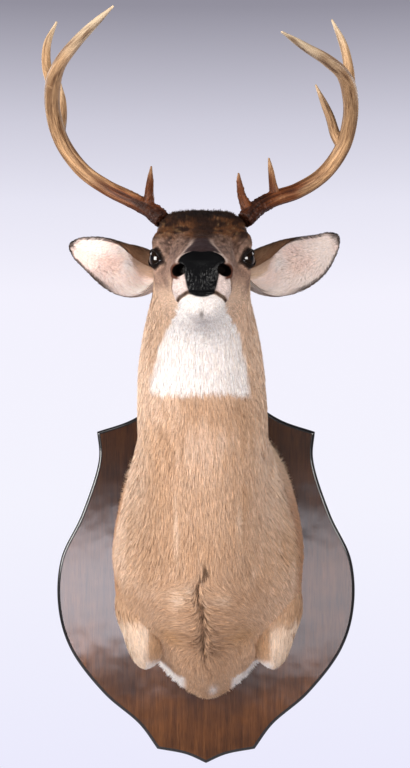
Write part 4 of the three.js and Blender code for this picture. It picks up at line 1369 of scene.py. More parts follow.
def wood_material():
    """Dark stained wood under varnish, darkened towards the top by painted shade, with a black edge where the
    edge attribute is 1.
    """
    settings = {"Specular_IOR_Level": 0.1, "Coat_Weight": 0.95, "Coat_Roughness": 0.13}
    material, tree, shader = new_material("stained_wood", **settings)
    grain = noise_node(tree, 170.0, 5.0, (1.0, 1.0, ALONG_GRAIN), 0.62)
    pores = noise_node(tree, 620.0, 3.0, (1.0, 1.0, ALONG_GRAIN), 0.6)
    figure = noise_node(tree, 9.0, 3.0, (1.0, 1.0, 1.5), 0.5)
    body = ramp(tree, grain, (0.30, (0.056, 0.0185, 0.0048)), (0.50, (0.090, 0.031, 0.0080)),
                (0.70, (0.128, 0.047, 0.0135)))
    shaded = ramp(tree, figure, (0.32, (0.50, 0.46, 0.44)), (0.50, (0.92, 0.90, 0.88)),
                  (0.68, (1.22, 1.20, 1.18)))
    body = blend(tree, "MULTIPLY", 1.0, body, shaded)
    specks = ramp(tree, pores, (0.34, (0.45, 0.42, 0.40)), (0.52, (1.0, 1.0, 1.0)))
    body = blend(tree, "MULTIPLY", 0.7, body, specks)
    # Painted shade: the wood grows darker towards the top of the board.
    place = add(tree, "ShaderNodeSeparateXYZ")
    link(tree, coordinate(tree), place.inputs[0])
    top_shade = ranged(tree, place.outputs["Z"], -0.10, 0.22, 0.0, 1.0)
    body = blend(tree, "MULTIPLY", top_shade, body, (0.48, 0.46, 0.40))
    black = ramp(tree, grain, (0.3, (0.006, 0.006, 0.007)), (0.7, (0.016, 0.014, 0.014)))
    link(tree, blend(tree, "MIX", attribute(tree, "edge"), body, black), shader.inputs["Base Color"])
    link(tree, ranged(tree, pores, 0.3, 0.7, 0.42, 0.30), shader.inputs["Roughness"])
    link(tree, bump(tree, pores, 0.25, 0.0003), shader.inputs["Normal"])
    link(tree, bump(tree, noise_node(tree, 14.0, 2.0), 0.35, 0.002), shader.inputs["Coat Normal"])
    return material


def steel_material():
    """Zinc-plated steel, brushed along the board."""
    material, tree, shader = new_material("zinc_steel", Metallic=1.0)
    brushed = noise_node(tree, 500.0, 3.0, (1.0, 1.0, 0.05))
    plated = ramp(tree, brushed, (0.3, (0.42, 0.42, 0.43)), (0.7, (0.62, 0.62, 0.63)))
    link(tree, plated, shader.inputs["Base Color"])
    link(tree, ranged(tree, brushed, 0.3, 0.7, 0.28, 0.45), shader.inputs["Roughness"])
    link(tree, bump(tree, brushed, 0.2, 0.0002), shader.inputs["Normal"])
    return material


# ---- The skin and its coat ----

FLESH = ["shoulders", "neck", "head", "muzzle", "nose", "lower_jaw"]
FLESH += ["ear_left", "ear_right", "leg_left", "leg_right"]
SKIN_TONE = 0.92  # how light the skin is, beside the hair on it

def lie_of(ground):
    """How far round and how far along the body each of the grid's points is, in metres."""
    around, down = np.cumsum(ground.step_column, axis=1), np.cumsum(ground.step_row, axis=0)
    return np.stack([around, down], axis=-1) * MM


def body_skin(skin, places):
    """The body's points with the lean added, their colours, and how bare and wet they are."""
    flat = skin.reshape(-1, 3)
    u = np.repeat(places, COLUMNS)
    s = np.tile(np.arange(COLUMNS) / COLUMNS, len(places))
    q = mirrored(flat)
    pad = pad_share(q) * (0.5 + 0.5 * smooth(502, 490, q[:, 2]))
    lids = smooth(1.28, 1.12, eye_places(q)[0])
    lips = 0.5 * smooth(2.4, 1.4, mouth_distance(q))
    wet = np.clip(lower_rim(q) + pad + 0.6 * smooth(1.3, 1.0, nostril_out(q)) + lids + lips, 0, 1)
    points = flat + (lean_at(places).repeat(COLUMNS)[:, None] * (1, 0, 0))
    return points.reshape(skin.shape), body_marks(flat, u, s), wet * smooth(9.0, 9.5, u)


def lean_at(places):
    """How far to the left the body leans at places along it."""
    return along(SECTIONS[:, 4], np.minimum(places, NOSE_SECTION))


def skin_part(grid, colour, wet, lie, corner, size):
    """A closed part of the skin: its points with the middles of both ends, what they carry, and its faces."""
    rows, columns = grid.shape[:2]
    down, across = np.divmod(np.arange(rows * columns), columns)
    places = np.stack([across / columns, down / (rows - 1)], axis=1)
    lie = lie.reshape(-1, 2)
    return {
        "points": np.vstack([grid.reshape(-1, 3), grid[0].mean(axis=0), grid[-1].mean(axis=0)]),
        "tint": np.vstack([colour, colour[:1], colour[-1:]]),
        "wet": np.r_[wet, wet[0], wet[-1]],
        "lie": np.vstack([lie, lie[:1], lie[-1:]]),
        "uv": np.vstack([places, (0.5, 0), (0.5, 1)]) * size + corner,
        "faces": (grid_faces(rows, columns), end_fans(rows, columns)),
    }


def ear_skin(i, name, outer, hollow):
    """The skin of an ear, its back and its hollow as one ring."""
    share = np.repeat(ear_share(np.arange(EAR_ROWS)), EAR_COLUMNS)
    across = np.tile(np.linspace(0, 1, EAR_COLUMNS), EAR_ROWS)
    back, inner = [
        marks(share, across, ground.skin.reshape(-1, 3)).reshape(EAR_ROWS, EAR_COLUMNS, 3)
        for marks, ground in ((ear_back_marks, outer), (ear_hollow_marks, hollow))
    ]
    ring = np.concatenate([outer.skin, hollow.skin[:, ::-1]], axis=1) + (HEAD_LEAN, 0, 0)
    # Each ear's colours carry its painted light and shade.
    colour = np.concatenate([back, inner[:, ::-1]], axis=1).reshape(-1, 3) * EAR_PAINTED_LIGHT[name]
    lie = np.concatenate([lie_of(outer), lie_of(hollow)[:, ::-1]], axis=1)
    return skin_part(ring, colour, np.zeros(len(colour)), lie, (0.81, 0.002 + 0.25 * i), (0.185, 0.24))


def leg_skin(i, leg):
    """The skin of a leg's stub."""
    colour = leg_marks(leg.skin.reshape(-1, 3))
    corner = (0.81, 0.51 + 0.24 * i)
    return skin_part(leg.skin, colour, np.zeros(len(colour)), lie_of(leg), corner, (0.185, 0.23))


def build_skin(body, places, ears, legs, hide):
    """One mesh for all the flesh: the body, the ears and the legs' stubs."""
    parts = [skin_part(*body_skin(body.skin, places), lie_of(body), (0.002, 0.002), (0.80, 0.996))]
    parts += [ear_skin(i, name, *ears[name]) for i, name in enumerate(SIDES)]
    parts += [leg_skin(i, legs[name]) for i, name in enumerate(SIDES)]
    starts = np.cumsum([0] + [len(part["points"]) for part in parts])
    faces = [np.concatenate([part["faces"][k] + start for part, start in zip(parts, starts)]) for k in (0, 1)]
    kept = ("points", "tint", "lie", "uv")
    points, tint, lie, uv = [np.vstack([part[key] for part in parts]) for key in kept]
    made = mesh_object("hide_skin", points, faces, hide)
    paint(made, "tint", tint * SKIN_TONE)
    paint(made, "wet", np.concatenate([part["wet"] for part in parts]))
    vectors(made, "lie", np.column_stack([lie, np.zeros(len(lie))]))
    unwrap(made, uv)
    return on_frame(made, "coat", *FLESH)


def body_turn(p, rng):
    """The way of the coat on the body: towards the board, and away from the middle below the whorl."""
    x, y, z = p.T
    calm = 0.11 * noise(p, 40, 21) + 0.07 * noise(p, 12, 22) + 0.08 * rng.standard_normal(len(p))
    low = smooth(75, 25, z) * smooth(-130, -60, z) * smooth(-150, -190, y)
    way = np.interp(z, *CREASE)
    fan = -np.tanh((x - way) / 1.5) * 1.15 * bell(x - way, 62) * low
    head = smooth(-300, -380, y)
    return calm * (1 - 0.5 * head) + fan


BODY_COATS = [
    # name, from and to which place along the body, how many tufts, and the kind of hair
    ("coat_shoulders", 0.0, 2.0, 62000, "coat"),
    ("coat_chest", 2.0, 4.3, 62000, "coat"),
    ("coat_neck_lower", 4.3, 6.8, 58000, "coat"),
    ("coat_neck_upper", 6.8, 9.4, 56000, "coat"),
    ("coat_head", 9.4, 12.4, 62000, "face"),
    ("coat_face", 12.4, 19.0, 60000, "face"),
]
# Places along the body, and there: the tufts' length and width, their clumps' size, and how dense they are.
LENGTH_AT = ([0, 1, 2, 4, 7, 8.4, 9.5, 10.5, 12, 13.5, 16, 18],
             [14, 20, 26, 27, 25, 22, 15, 11, 8, 6.2, 4.6, 3.0])
WIDTH_AT = ([0, 7, 9, 10.5, 13, 18], [1.3, 1.2, 1.0, 0.75, 0.6, 0.5])
CLUMP_AT = ([0, 8, 10, 13], [4.6, 4.4, 3.2, 2.2])
DENSE_AT = ([0, 9, 11, 13, 18], [1, 1, 1.1, 1.0, 1.3])
ANTLER_SEAT, SEAT_REACH = (58, -338, 583), 12
CLEAR_Y, CLEAR_SPREAD = -20.6, 3  # the y that keeps the coat off the board's face, and how ragged it is there
BODY_DRAW, PART_DRAW = 0.34, 0.35  # how strongly tufts draw to their clump, on the body and on ears and legs
SPLAY = 0.55  # how far hair that hangs over the board's face stands out, for how far it hangs over
BODY_TONES = {"coat": (0.13, (0.72, 1.06)), "face": (0.20, (0.66, 1.10))}  # see tuft_colours


def bare_share(p):
    """1 where no hair grows: pad, nostrils, lids, mouth and under the antlers."""
    q = mirrored(p)
    bare = lower_rim(q) + pad_share(q) + smooth(1.5, 1.2, nostril_out(q))
    bare = bare + smooth(1.42, 1.2, eye_places(q)[0]) + smooth(2.6, 1.2, mouth_distance(q))
    return np.clip(bare + (np.linalg.norm(q - ANTLER_SEAT, axis=1) < SEAT_REACH), 0, 1)


def body_coat(start, end, kind, ground, places, row, column, rng):
    """What grow needs for tufts at these places on the body."""
    count = len(row)
    rows = np.arange(ground.rows)
    p = ground.read(ground.limit, row, column)
    u = np.interp(row, rows, places)
    crown = smooth(555, 572, p[:, 2]) * smooth(-440, -400, p[:, 1])
    length = np.interp(u, *LENGTH_AT) * (1 + 0.10 * noise(p, 20, 23) + 0.09 * rng.standard_normal(count))
    length = np.maximum(length + (6 + 5 * noise(p, 12, 27)) * crown, 1.5)
    near_eye = smooth(3.2, 1.4, eye_places(mirrored(p))[0])
    near_mouth = 1.25 * smooth(8, 3, mouth_distance(mirrored(p)))
    length = length * (1 - 0.55 * np.maximum(near_eye, near_mouth)) * (1 - 0.45 * crease_line(p, 8.0))
    ragged = np.clip(0.5 + 0.5 * noise(p, 6, 29) + 0.3 * rng.standard_normal(count), 0, 1.4)
    ragged = crown * 3.5 * ragged
    outward = np.repeat((ground.normal[0] * (1, 0, 1))[None], 2, 0)

    def lift(r, c, share):
        over = np.clip(-r, 0, None) * ground.step_row[0].mean()
        out = ground.read(outward, np.zeros(len(r)), c) * (SPLAY * over)[:, None]
        return out + ground.read(ground.normal, r, c) * (ragged * share**2)[:, None]

    def marks(middle, tip):
        r, c = (middle[0] + tip[0]) / 2, (middle[1] + tip[1]) / 2
        at = ground.read(ground.limit, r, c)
        return body_marks(at, np.interp(r, rows, places), (c / ground.columns) % 1.0)

    vary, tones = BODY_TONES[kind]
    return {
        "length": length,
        "width": np.interp(u, *WIDTH_AT) * rng.uniform(0.75, 1.2, count),
        "turn": body_turn(p, rng),
        "clump": float(np.interp((start + end) / 2, *CLUMP_AT)),
        "draw": BODY_DRAW,
        "lift": lift,
        "lean_x": 0.0,
        "keep_off": CLEAR_Y - rng.random(count) * CLEAR_SPREAD,
        "marks": marks,
        # painted shade on the roots of the tufts along the crease
        "root_shade": 1 - 0.85 * crease_line(p, 2.4),
        "vary": vary,
        "tones": tones,
    }


def grow_body(ground, places, materials):
    """The coat of the body, piece by piece from the board to the nose."""
    open_share = (1 - bare_share(ground.limit.reshape(-1, 3))).reshape(ground.rows, ground.columns)
    for i, (name, start, end, count, kind) in enumerate(BODY_COATS):
        rng = np.random.default_rng(SEED + i)
        inside = ((places >= start) & (places < end)).astype(float)
        dense = (inside * np.interp(places, *DENSE_AT))[:, None]
        row, column = ground.places(rng, count, open_share * dense)
        coat = body_coat(start, end, kind, ground, places, row, column, rng)
        made = grow(name, ground, row, column, coat, rng, materials[kind], kind)
        lean = np.interp(row, np.arange(ground.rows), lean_at(places))
        shift_lean(made, np.repeat(lean, TUFT_POINTS))


def shift_lean(obj, lean):
    """Moves an object's points sideways by the lean of the place where each grows."""
    co = np.empty(len(obj.data.vertices) * 3, np.float32)
    obj.data.vertices.foreach_get("co", co)
    co = co.reshape(-1, 3)
    co[:, 0] += (lean * MM).astype(np.float32)
    obj.data.vertices.foreach_set("co", co.ravel())
    obj.data.update()


def simple_coat(length, width, turn, marks, vary, clump, tones=(0.7, 1.08), lean=0.0):
    """What grow needs for the tufts of an ear or a leg."""
    return {
        "length": length, "width": width, "turn": turn, "clump": clump,
        "draw": PART_DRAW,
        "lift": lambda r, c, share: 0.0, "lean_x": lean, "marks": marks, "vary": vary, "tones": tones,
    }


EAR_LIGHT = {"left": (0.60, -0.80, 0.0), "right": (0.0, -0.99, 0.14)}  # where most of the hollow's hair faces
EAR_BACK_TUFTS, EAR_HOLLOW_TUFTS, LEG_TUFTS = 11000, 10000, 17000
EAR_SEEDS, LEG_SEEDS = {"left": 31, "right": 32}, {"left": 41, "right": 42}
HOLLOW_LENGTH = ([0, 0.25, 0.5, 1], [20, 13, 6, 3])  # shares along an ear, and how long its hair is there
BACK_LENGTH = ([0, 0.3, 1], [11, 7, 4.5])
LEG_LENGTH = ([0, 0.7, 1], [26, 20, 11])


def grow_ear(name, outer, hollow, materials):
    """The coat of an ear's back and of its hollow."""
    rng = np.random.default_rng(SEED + EAR_SEEDS[name])
    weight = np.ones((EAR_ROWS, EAR_COLUMNS))
    weight[:EAR_ROOT - 3] = 0
    for part, ground, count in (("back", outer, EAR_BACK_TUFTS), ("hollow", hollow, EAR_HOLLOW_TUFTS)):
        row, column = ground.places(rng, count, weight)
        share, across = ear_share(row), column / (EAR_COLUMNS - 1)
        root = ground.read(ground.skin, row, column)
        # Both kinds of hair carry the painted light and shade of each ear.
        if part == "back":
            colour = ear_back_marks(share, across, root) * EAR_PAINTED_LIGHT[name]
            length = np.interp(share, *BACK_LENGTH) * rng.uniform(0.8, 1.2, count)
            turn = math.pi + 0.15 * rng.standard_normal(count)
            vary, tones = 0.13, (0.7, 1.08)
        else:
            colour = ear_hollow_marks(share, across, root) * EAR_PAINTED_LIGHT[name]
            length = np.interp(share, *HOLLOW_LENGTH) * (0.7 + 0.5 * smooth(0.35, 0.05, across))
            length = length * rng.uniform(0.7, 1.2, count)
            turn = math.pi + (across - 0.5) * 0.9 + 0.10 * rng.standard_normal(count)
            vary, tones = 0.06, (0.86, 1.06)
        width = rng.uniform(0.6, 1.0, count)
        coat = simple_coat(length, width, turn, lambda *_: colour, vary, 3.0, tones, HEAD_LEAN)
        if part == "hollow":
            coat["faces"] = EAR_LIGHT[name]
        grow(f"coat_ear_{part}_{name}", ground, row, column, coat, rng, materials["ear"], "ear")


def grow_leg(name, ground, materials):
    """The coat of a leg's stub."""
    rng = np.random.default_rng(SEED + LEG_SEEDS[name])
    row, column = ground.places(rng, LEG_TUFTS, np.ones((LEG_ROWS, LEG_COLUMNS)))
    length = np.interp(row / (LEG_ROWS - 1), *LEG_LENGTH) * rng.uniform(0.85, 1.15, LEG_TUFTS)
    turn = math.pi + 0.15 * rng.standard_normal(LEG_TUFTS)
    width = rng.uniform(1.0, 1.6, LEG_TUFTS)
    marks = lambda middle, tip: leg_marks(ground.read(ground.limit, *middle))
    coat = simple_coat(length, width, turn, marks, 0.11, 6.0)
    grow(f"coat_leg_{name}", ground, row, column, coat, rng, materials["coat"], "coat")


# ---- Eyes ----

LID_ROWS, LID_SIDES = 120, 10
BEAD_HIGH = 1.2  # how far over the ball the middle of a lid's bead is
BEAD_ROUND, BEAD_MORE = 1.5, 0.3  # half its thickness, and how much that varies
LID_CORNERS = [0, 3, 2, 1]  # the order of a face's corners that turns it outwards on the left
EYE_ROWS, EYE_COLUMNS = 48, 96


def build_lids(name, material):
    """The dark rim of both lids, a bead along the eye's opening."""
    axis, ahead, upward = eye_frame()
    long, tall = EYE_OPENING
    turn = np.linspace(0, 2 * math.pi, LID_ROWS, endpoint=False)
    a = long * np.cos(turn)
    b = tall * (1 - 0.4 * (a / long) ** 2) * np.sin(turn)
    high = np.sqrt(np.maximum(EYE_R**2 - a**2 - b**2, 4)) + BEAD_HIGH
    line = EYE + a[:, None] * ahead + b[:, None] * upward + high[:, None] * axis
    tangent = unit(np.roll(line, -1, 0) - np.roll(line, 1, 0))
    out = unit(line - EYE)
    cross = np.cross(tangent, out)
    roll = np.linspace(0, 2 * math.pi, LID_SIDES, endpoint=False)[None, :, None]
    thick = BEAD_ROUND + BEAD_MORE * np.sin(turn)[:, None, None]
    ring = line[:, None] + thick * (out[:, None] * np.cos(roll) + cross[:, None] * np.sin(roll))
    points = ring.reshape(-1, 3) * (SIDES[name], 1, 1) + (HEAD_LEAN, 0, 0)
    quads = grid_faces(LID_ROWS + 1, LID_SIDES) % (LID_ROWS * LID_SIDES)
    quads = quads[:, LID_CORNERS]
    made = mesh_object(f"lids_{name}", points, quads if name == "left" else quads[:, ::-1], material)
    paint(made, "tint", np.repeat([NEAR_BLACK], len(points), 0))
    paint(made, "wet", np.ones(len(points)))
    return on_frame(made, "face")


def build_eye(name, material):
    """The glass ball of an eye; its look attribute says where on it a point is, with the pupil at 0, 0."""
    axis, ahead, upward = eye_frame()
    up = np.linspace(0, math.pi, EYE_ROWS)[:, None]
    turn = np.linspace(0, 2 * math.pi, EYE_COLUMNS, endpoint=False)[None]
    look = np.stack([np.sin(up) * np.cos(turn), np.sin(up) * np.sin(turn), np.cos(up) + 0 * turn], axis=-1)
    ball = EYE + (EYE_R - 0.1) * (look[..., :1] * ahead + look[..., 1:2] * upward + look[..., 2:] * axis)
    points = ball.reshape(-1, 3) * (SIDES[name], 1, 1) + (HEAD_LEAN, 0, 0)
    made = mesh_object(f"eyeball_{name}", points, grid_faces(EYE_ROWS, EYE_COLUMNS), material)
    vectors(made, "look", look)
    face_outward(made)
    return on_frame(made, "eye", f"eye_{name}")


# ---- Antlers ----

ANTLER_BASE, ANTLER_BROWN, ANTLER_OCHRE, ANTLER_IVORY = np.array([
    (0.034, 0.009, 0.003), (0.140, 0.043, 0.014), (0.43, 0.262, 0.142), (0.58, 0.450, 0.31)])
ANTLER_VOXEL = 1.25
TUBE_SIDES = 28
BEAM_POINTS, TINE_POINTS = 260, 60
PAINTED_SHADE_AT, PAINTED_SHADE_REACH = 0.50, 0.13  # painted shade: shares of the beam's length where it is darkened, and how far
# how strong the painted shade on the beam's middle is, on each antler
PAINTED_SHADE_OF = {"left": 1.0, "right": 0.6}
ROUGH_AT = ([0, 0.08, 0.3, 0.6, 1], [1.0, 0.8, 0.55, 0.3, 0.12])  # shares of the beam, and how rough it is


def tube(line, radii):
    """A closed round bar along a line: its points and its two kinds of faces."""
    tangent, first, second = frames_along(line)
    angle = np.linspace(0, 2 * math.pi, TUBE_SIDES, endpoint=False)[None, :, None]
    ring = first[:, None] * np.cos(angle) + second[:, None] * np.sin(angle)
    grid = line[:, None] + ring * radii[:, None, None]
    points = np.vstack([grid.reshape(-1, 3), line[:1], line[-1:] + tangent[-1:] * radii[-1] * 0.7])
    return points, grid_faces(len(line), TUBE_SIDES), end_fans(len(line), TUBE_SIDES)


def antler_lines(name):
    """The beam and the tines: each a line, its radii, and how far out along the beam it starts."""
    beam = curve_points(BEAMS[name], BEAM_POINTS)
    share = np.linspace(0, 1, BEAM_POINTS)
    radii = read_evenly(BEAM_RADII, share) * (1 + BURR_RISE * bell(share - BURR_SHARE, BURR_SPREAD))
    far = walked(beam)
    lines = [(beam, radii, 0.0)]
    for key, points in TINES[name].items():
        tine = curve_points(points, TINE_POINTS)
        start = far[np.argmin(np.linalg.norm(beam - tine[0], axis=1))]
        lines.append((tine, along(TINE_RADII[key], np.linspace(0, 3, TINE_POINTS)), start))
    return lines, far[-1]


def nearest_on_lines(p, lines):
    """For points near the antler: how far out they are, and, on the nearest branch, the share of its length,
    the place in its cross-section and the distance along it."""
    best = np.full(len(p), 1e9)
    result = np.zeros((len(p), 5))
    for line, radii, start in lines:
        _, first, second = frames_along(line)
        length = walked(line)
        for block in np.array_split(np.arange(len(p)), max(1, len(p) // 8000)):
            away = p[block][:, None] - line[None]
            far = np.einsum("ijk,ijk->ij", away, away)
            i = far.argmin(axis=1)
            reach = np.sqrt(far[np.arange(len(block)), i]) / radii[i]
            nearer = reach < best[block]
            keep, i = block[nearer], i[nearer]
            best[keep] = reach[nearer]
            off = p[keep] - line[i]
            across = [(off * way[i]).sum(1) for way in (first, second)]
            result[keep] = np.stack([start + length[i], length[i] / length[-1], *across, length[i]], axis=1)
    return result


def antler_mesh(name, lines, material):
    """The beam and the tines, grown together into one even mesh."""
    points, faces, start = [], ([], []), 0
    for line, radii, _ in lines:
        p, *kinds = tube(line, radii)
        points.append(p)
        for held, kind in zip(faces, kinds):
            held.append(kind + start)
        start += len(p)
    made = mesh_object(name, np.vstack(points), [np.concatenate(held) for held in faces], material)
    remesh = made.modifiers.new("join", "REMESH")
    remesh.mode = "VOXEL"
    remesh.voxel_size = ANTLER_VOXEL * MM
    even = made.modifiers.new("even", "SMOOTH")
    even.iterations = 4
    apply_modifiers(made)
    made.data.shade_smooth()
    return made


def antler_colour(name, far, share, on_tine, p, broad):
    """Black-brown at the base, ivory at the ends, with dark low tines and painted shade on the beam's middle.
    """
    age = np.clip(far + 0.12 * smooth(0.45, 1.0, share) * on_tine, 0, 1)
    patch = age + 0.06 * noise(p, 26, 55)
    low_tine = on_tine * smooth(0.3, 0.1, far)
    c = mix(ANTLER_BASE, ANTLER_BROWN, smooth(0.05, 0.16, patch + 0.03 * broad))
    c = mix(c, ANTLER_OCHRE, smooth(0.14, 0.36, patch + 0.08 * broad))
    c = mix(c, ANTLER_IVORY, smooth(0.62, 0.95, patch))
    c = mix(c, ANTLER_IVORY, 0.5 * smooth(0.5, 1.0, share) * on_tine * smooth(0.2, 0.4, far))
    c = mix(c, ANTLER_BROWN * 0.8, 0.85 * low_tine)
    # Painted shade on the beam's middle, stronger on the left antler.
    c = c * (1 - 0.30 * bell(age - PAINTED_SHADE_AT, PAINTED_SHADE_REACH) * PAINTED_SHADE_OF[name])[:, None]
    return mix(c, ANTLER_OCHRE * 0.7, 0.45 * smooth(0.75, 1.0, share) * low_tine), age


def build_antler(name, material):
    """An antler, with ribs and broad waves along it, pearls near the base and a rough burr."""
    lines, whole = antler_lines(name)
    made = antler_mesh(f"antler_{name}", lines, material)
    p = points_of(made)
    normal = np.empty(len(p) * 3, np.float32)
    made.data.vertices.foreach_get("normal", normal)
    far, share, across, second, own = nearest_on_lines(p, lines).T
    lie = np.stack([across, second, own], axis=1)
    ribs = noise(lie * (1, 1, 0.07) + (0, 0, 40), 2.7, 51)
    broad = noise(lie * (1, 1, 0.10) + (0, 0, 90), 6.5, 52)
    pearls = np.clip(noise(p, 3.0, 53) - 0.05, 0, 1) * smooth(110, 10, far)
    rough = np.interp(far / whole, *ROUGH_AT) * smooth(1.0, 0.75, share)
    push = rough * (0.8 * ribs + 0.7 * broad) + 1.8 * pearls + bell(far - 15, 7) * 0.8 * noise(p, 5, 54)
    p = p + normal.reshape(-1, 3) * push[:, None]
    made.data.vertices.foreach_set("co", (p * MM).astype(np.float32).ravel())
    tint, age = antler_colour(name, far / whole, share, own < far - 1, p, broad)
    paint(made, "tint", tint)
    paint(made, "groove", np.clip(0.5 + 0.32 * ribs + 0.25 * broad + 0.5 * pearls, 0, 1))
    paint(made, "age", age)
    vectors(made, "lie", lie * MM)
    made.data.update()
    nodes = [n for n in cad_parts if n.startswith(f"antler_{name}_")]
    return on_frame(made, "antler", *nodes)


# ---- The board ----

CORNER = 12  # degrees of turn from which a corner of the board is kept sharp
SHARP = 28  # degrees between faces from which an edge of the board is sharp
EDGE_STEPS, BACK_STEP, FACE_STEPS = 8, 0.8, (0.4, 1.5)  # rings of the round edge, behind it, and in from it


def plane(points, count):
    """Points evenly spread along a smooth line through points in the board's plane."""
    return curve_points([(x, 0, z) for x, z in points], count)[:, (0, 2)]


def board_outline():
    """The shield's outline, from its peak round by the left."""
    crown = np.array(BOARD_CROWN, float)
    shoulder = np.array(BOARD_SHOULDER, float)
    foot = np.array(BOARD_FOOT, float)
    parts = [
        plane([(0, BOARD_PEAK), (crown[0] * 0.6, BOARD_PEAK + (crown[1] - BOARD_PEAK) * 0.45), crown], 14),
        plane([crown, (crown + shoulder) / 2 - (0, BOARD_CROWN_HOLLOW), shoulder], 26),
        plane([shoulder, *BOARD_SIDE, foot], 130),
        plane([foot, (foot[0] * 0.4, foot[1] + (BOARD_TIP - foot[1]) * 0.4), (0, BOARD_TIP)], 20),
    ]
    half = np.concatenate([part[:-1] for part in parts] + [parts[-1][-1:]])
    other = half[-2:0:-1] * (-1, 1)
    return np.concatenate([half, other])


def drawn_in(outline, inset):
    """The outline moved inwards by the inset, with its corners kept sharp."""
    before = unit(outline - np.roll(outline, 1, 0))
    after = unit(np.roll(outline, -1, 0) - outline)
    inward = np.stack([before[:, 1] + after[:, 1], -before[:, 0] - after[:, 0]], axis=1)
    inward = inward / np.maximum((inward * inward).sum(1) / 2, 0.35)[:, None]
    moved = outline + inward * inset
    turn = np.arccos(np.clip((before * after).sum(1), -1, 1))
    bend = before[:, 0] * after[:, 1] - before[:, 1] * after[:, 0]
    for i in np.flatnonzero((turn > math.radians(CORNER)) & (bend * inset < 0)):
        reach = abs(inset) * math.tan(turn[i] / 2)
        for way in (1, -1):
            j = (i + way) % len(outline)
            while np.linalg.norm(outline[j] - outline[i]) < reach:
                moved[j] = moved[i]
                j = (j + way) % len(outline)
    return moved


def board_levels():
    """The rings from the back to the face: how far in, at what y, and whether the edge is black there."""
    levels = [(0.0, 0.0, 1.0), (0.0, -BACK_STEP, 1.0)]
    for t in np.linspace(0, math.pi / 2, EDGE_STEPS):
        y = -(BOARD_THICK - BOARD_EDGE) - BOARD_EDGE * math.sin(t)
        levels.append((BOARD_EDGE * (1 - math.cos(t)), y, 1.0))
    return levels + [(BOARD_EDGE + step, -BOARD_THICK, 0.0) for step in FACE_STEPS]


def cut_pocket(board):
    """Cuts the keyhole plate's pocket out of the board's back."""
    wide, deep, tall, middle = POCKET
    heights = (middle - tall / 2, middle + tall / 2)
    corners = np.array([(x, y, z) for x in (-wide / 2, wide / 2) for y in (-deep, 5) for z in heights])
    faces = [(0, 1, 3, 2), (4, 6, 7, 5), (0, 4, 5, 1), (2, 3, 7, 6), (0, 2, 6, 4), (1, 5, 7, 3)]
    cutter = mesh_object("pocket", corners, np.array(faces))
    face_outward(cutter)
    pocket = board.modifiers.new("pocket", "BOOLEAN")
    pocket.operation, pocket.object, pocket.solver = "DIFFERENCE", cutter, "EXACT"
    apply_modifiers(board)
    bpy.data.objects.remove(cutter)


def build_board(material):
    """The shield, with its rounded black edge and the pocket in its back."""
    outline = board_outline()
    count = len(outline)
    inside = outline.mean(axis=0)
    shrunk = drawn_in(outline, 1.0)
    sign = 1.0 if ((shrunk - inside) ** 2).sum() < ((outline - inside) ** 2).sum() else -1.0
    levels = board_levels()
    rings = []
    for inset, y, _ in levels:
        edge = drawn_in(outline, sign * inset)
        rings.append(np.stack([edge[:, 0], np.full(count, y), edge[:, 1]], axis=1))
    back = np.arange(count)[None]
    face = (len(rings) - 1) * count + back[:, ::-1]
    quads = grid_faces(len(rings), count)
    made = mesh_object("shield_board", np.concatenate(rings), [quads, back, face], material)
    paint(made, "edge", np.repeat([level[2] for level in levels], count))
    face_outward(made)
    cut_pocket(made)
    made.data.materials.clear()
    made.data.materials.append(material)
    made.data.shade_smooth()
    sharp_edges(made, SHARP)
    return on_frame(made, "board", "board")


# ---- The scene round it ----

STUDIO_FRONT = 0.09  # how bright the studio is behind the camera, as a share of the wall behind the board
# The studio's wall from low to high: the height, as a share, and the colour.
STUDIO_WALL = [
    (0.0, (0.50, 0.50, 0.58)), (0.25, (0.83, 0.825, 0.975)), (0.42, (0.90, 0.895, 0.99)),
    (0.56, (0.90, 0.885, 0.985)), (0.62, (0.80, 0.79, 0.90)), (0.672, (0.62, 0.61, 0.71)),
    (0.747, (0.29, 0.28, 0.34)), (1.0, (0.22, 0.21, 0.26)),
]
FLOOR_RADIUS, FLOOR_Z, FLOOR_SIDES = 1650, -800, 96
# Soft lights: the name, where, what they aim at, width and height, all in metres, watts, and the colour.
LIGHTS = [
    ("key", (-2.75, -2.1, 0.7), (0, -0.25, 0.3), (1.5, 1.5), 142.0, (1, 0.98, 0.95)),
    ("fill", (1.5, -2.7, 0.75), (0, -0.25, 0.35), (1.2, 1.0), 60.0, (1, 0.97, 0.93)),
    ("top", (-0.3, -1.9, 2.5), (0, -0.3, 0.5), (1.8, 1.0), 30.0, (1, 1, 1)),
    ("left_card", (-0.42, -2.62, -0.36), (-0.2, 0, 0.0), (0.72, 0.42), 9.5, (1, 0.96, 1.05)),
    ("right_card", (0.46, -2.62, -0.38), (0.2, 0, 0.0), (0.72, 0.48), 6.2, (1, 0.96, 1.04)),
    ("back", (-1.7, 1.7, 1.1), (0, 0, 0.1), (1.0, 1.0), 16.0, (1, 1, 1)),
    ("back", (1.7, 1.7, 1.1), (0, 0, 0.1), (1.0, 1.0), 16.0, (1, 1, 1)),
]


def build_stage():
    """A plain round floor under the mount."""
    material, tree, shader = new_material("pale_floor", Roughness=0.9)
    mottled = ramp(tree, noise_node(tree, 3.0), (0.3, (0.50, 0.50, 0.54)), (0.7, (0.54, 0.54, 0.58)))
    link(tree, mottled, shader.inputs["Base Color"])
    angle = np.linspace(0, 2 * math.pi, FLOOR_SIDES, endpoint=False)
    height = np.full(FLOOR_SIDES, FLOOR_Z)
    rim = np.stack([FLOOR_RADIUS * np.cos(angle), FLOOR_RADIUS * np.sin(angle), height], axis=1)
    mesh_object("floor", rim, np.arange(FLOOR_SIDES)[None], material)


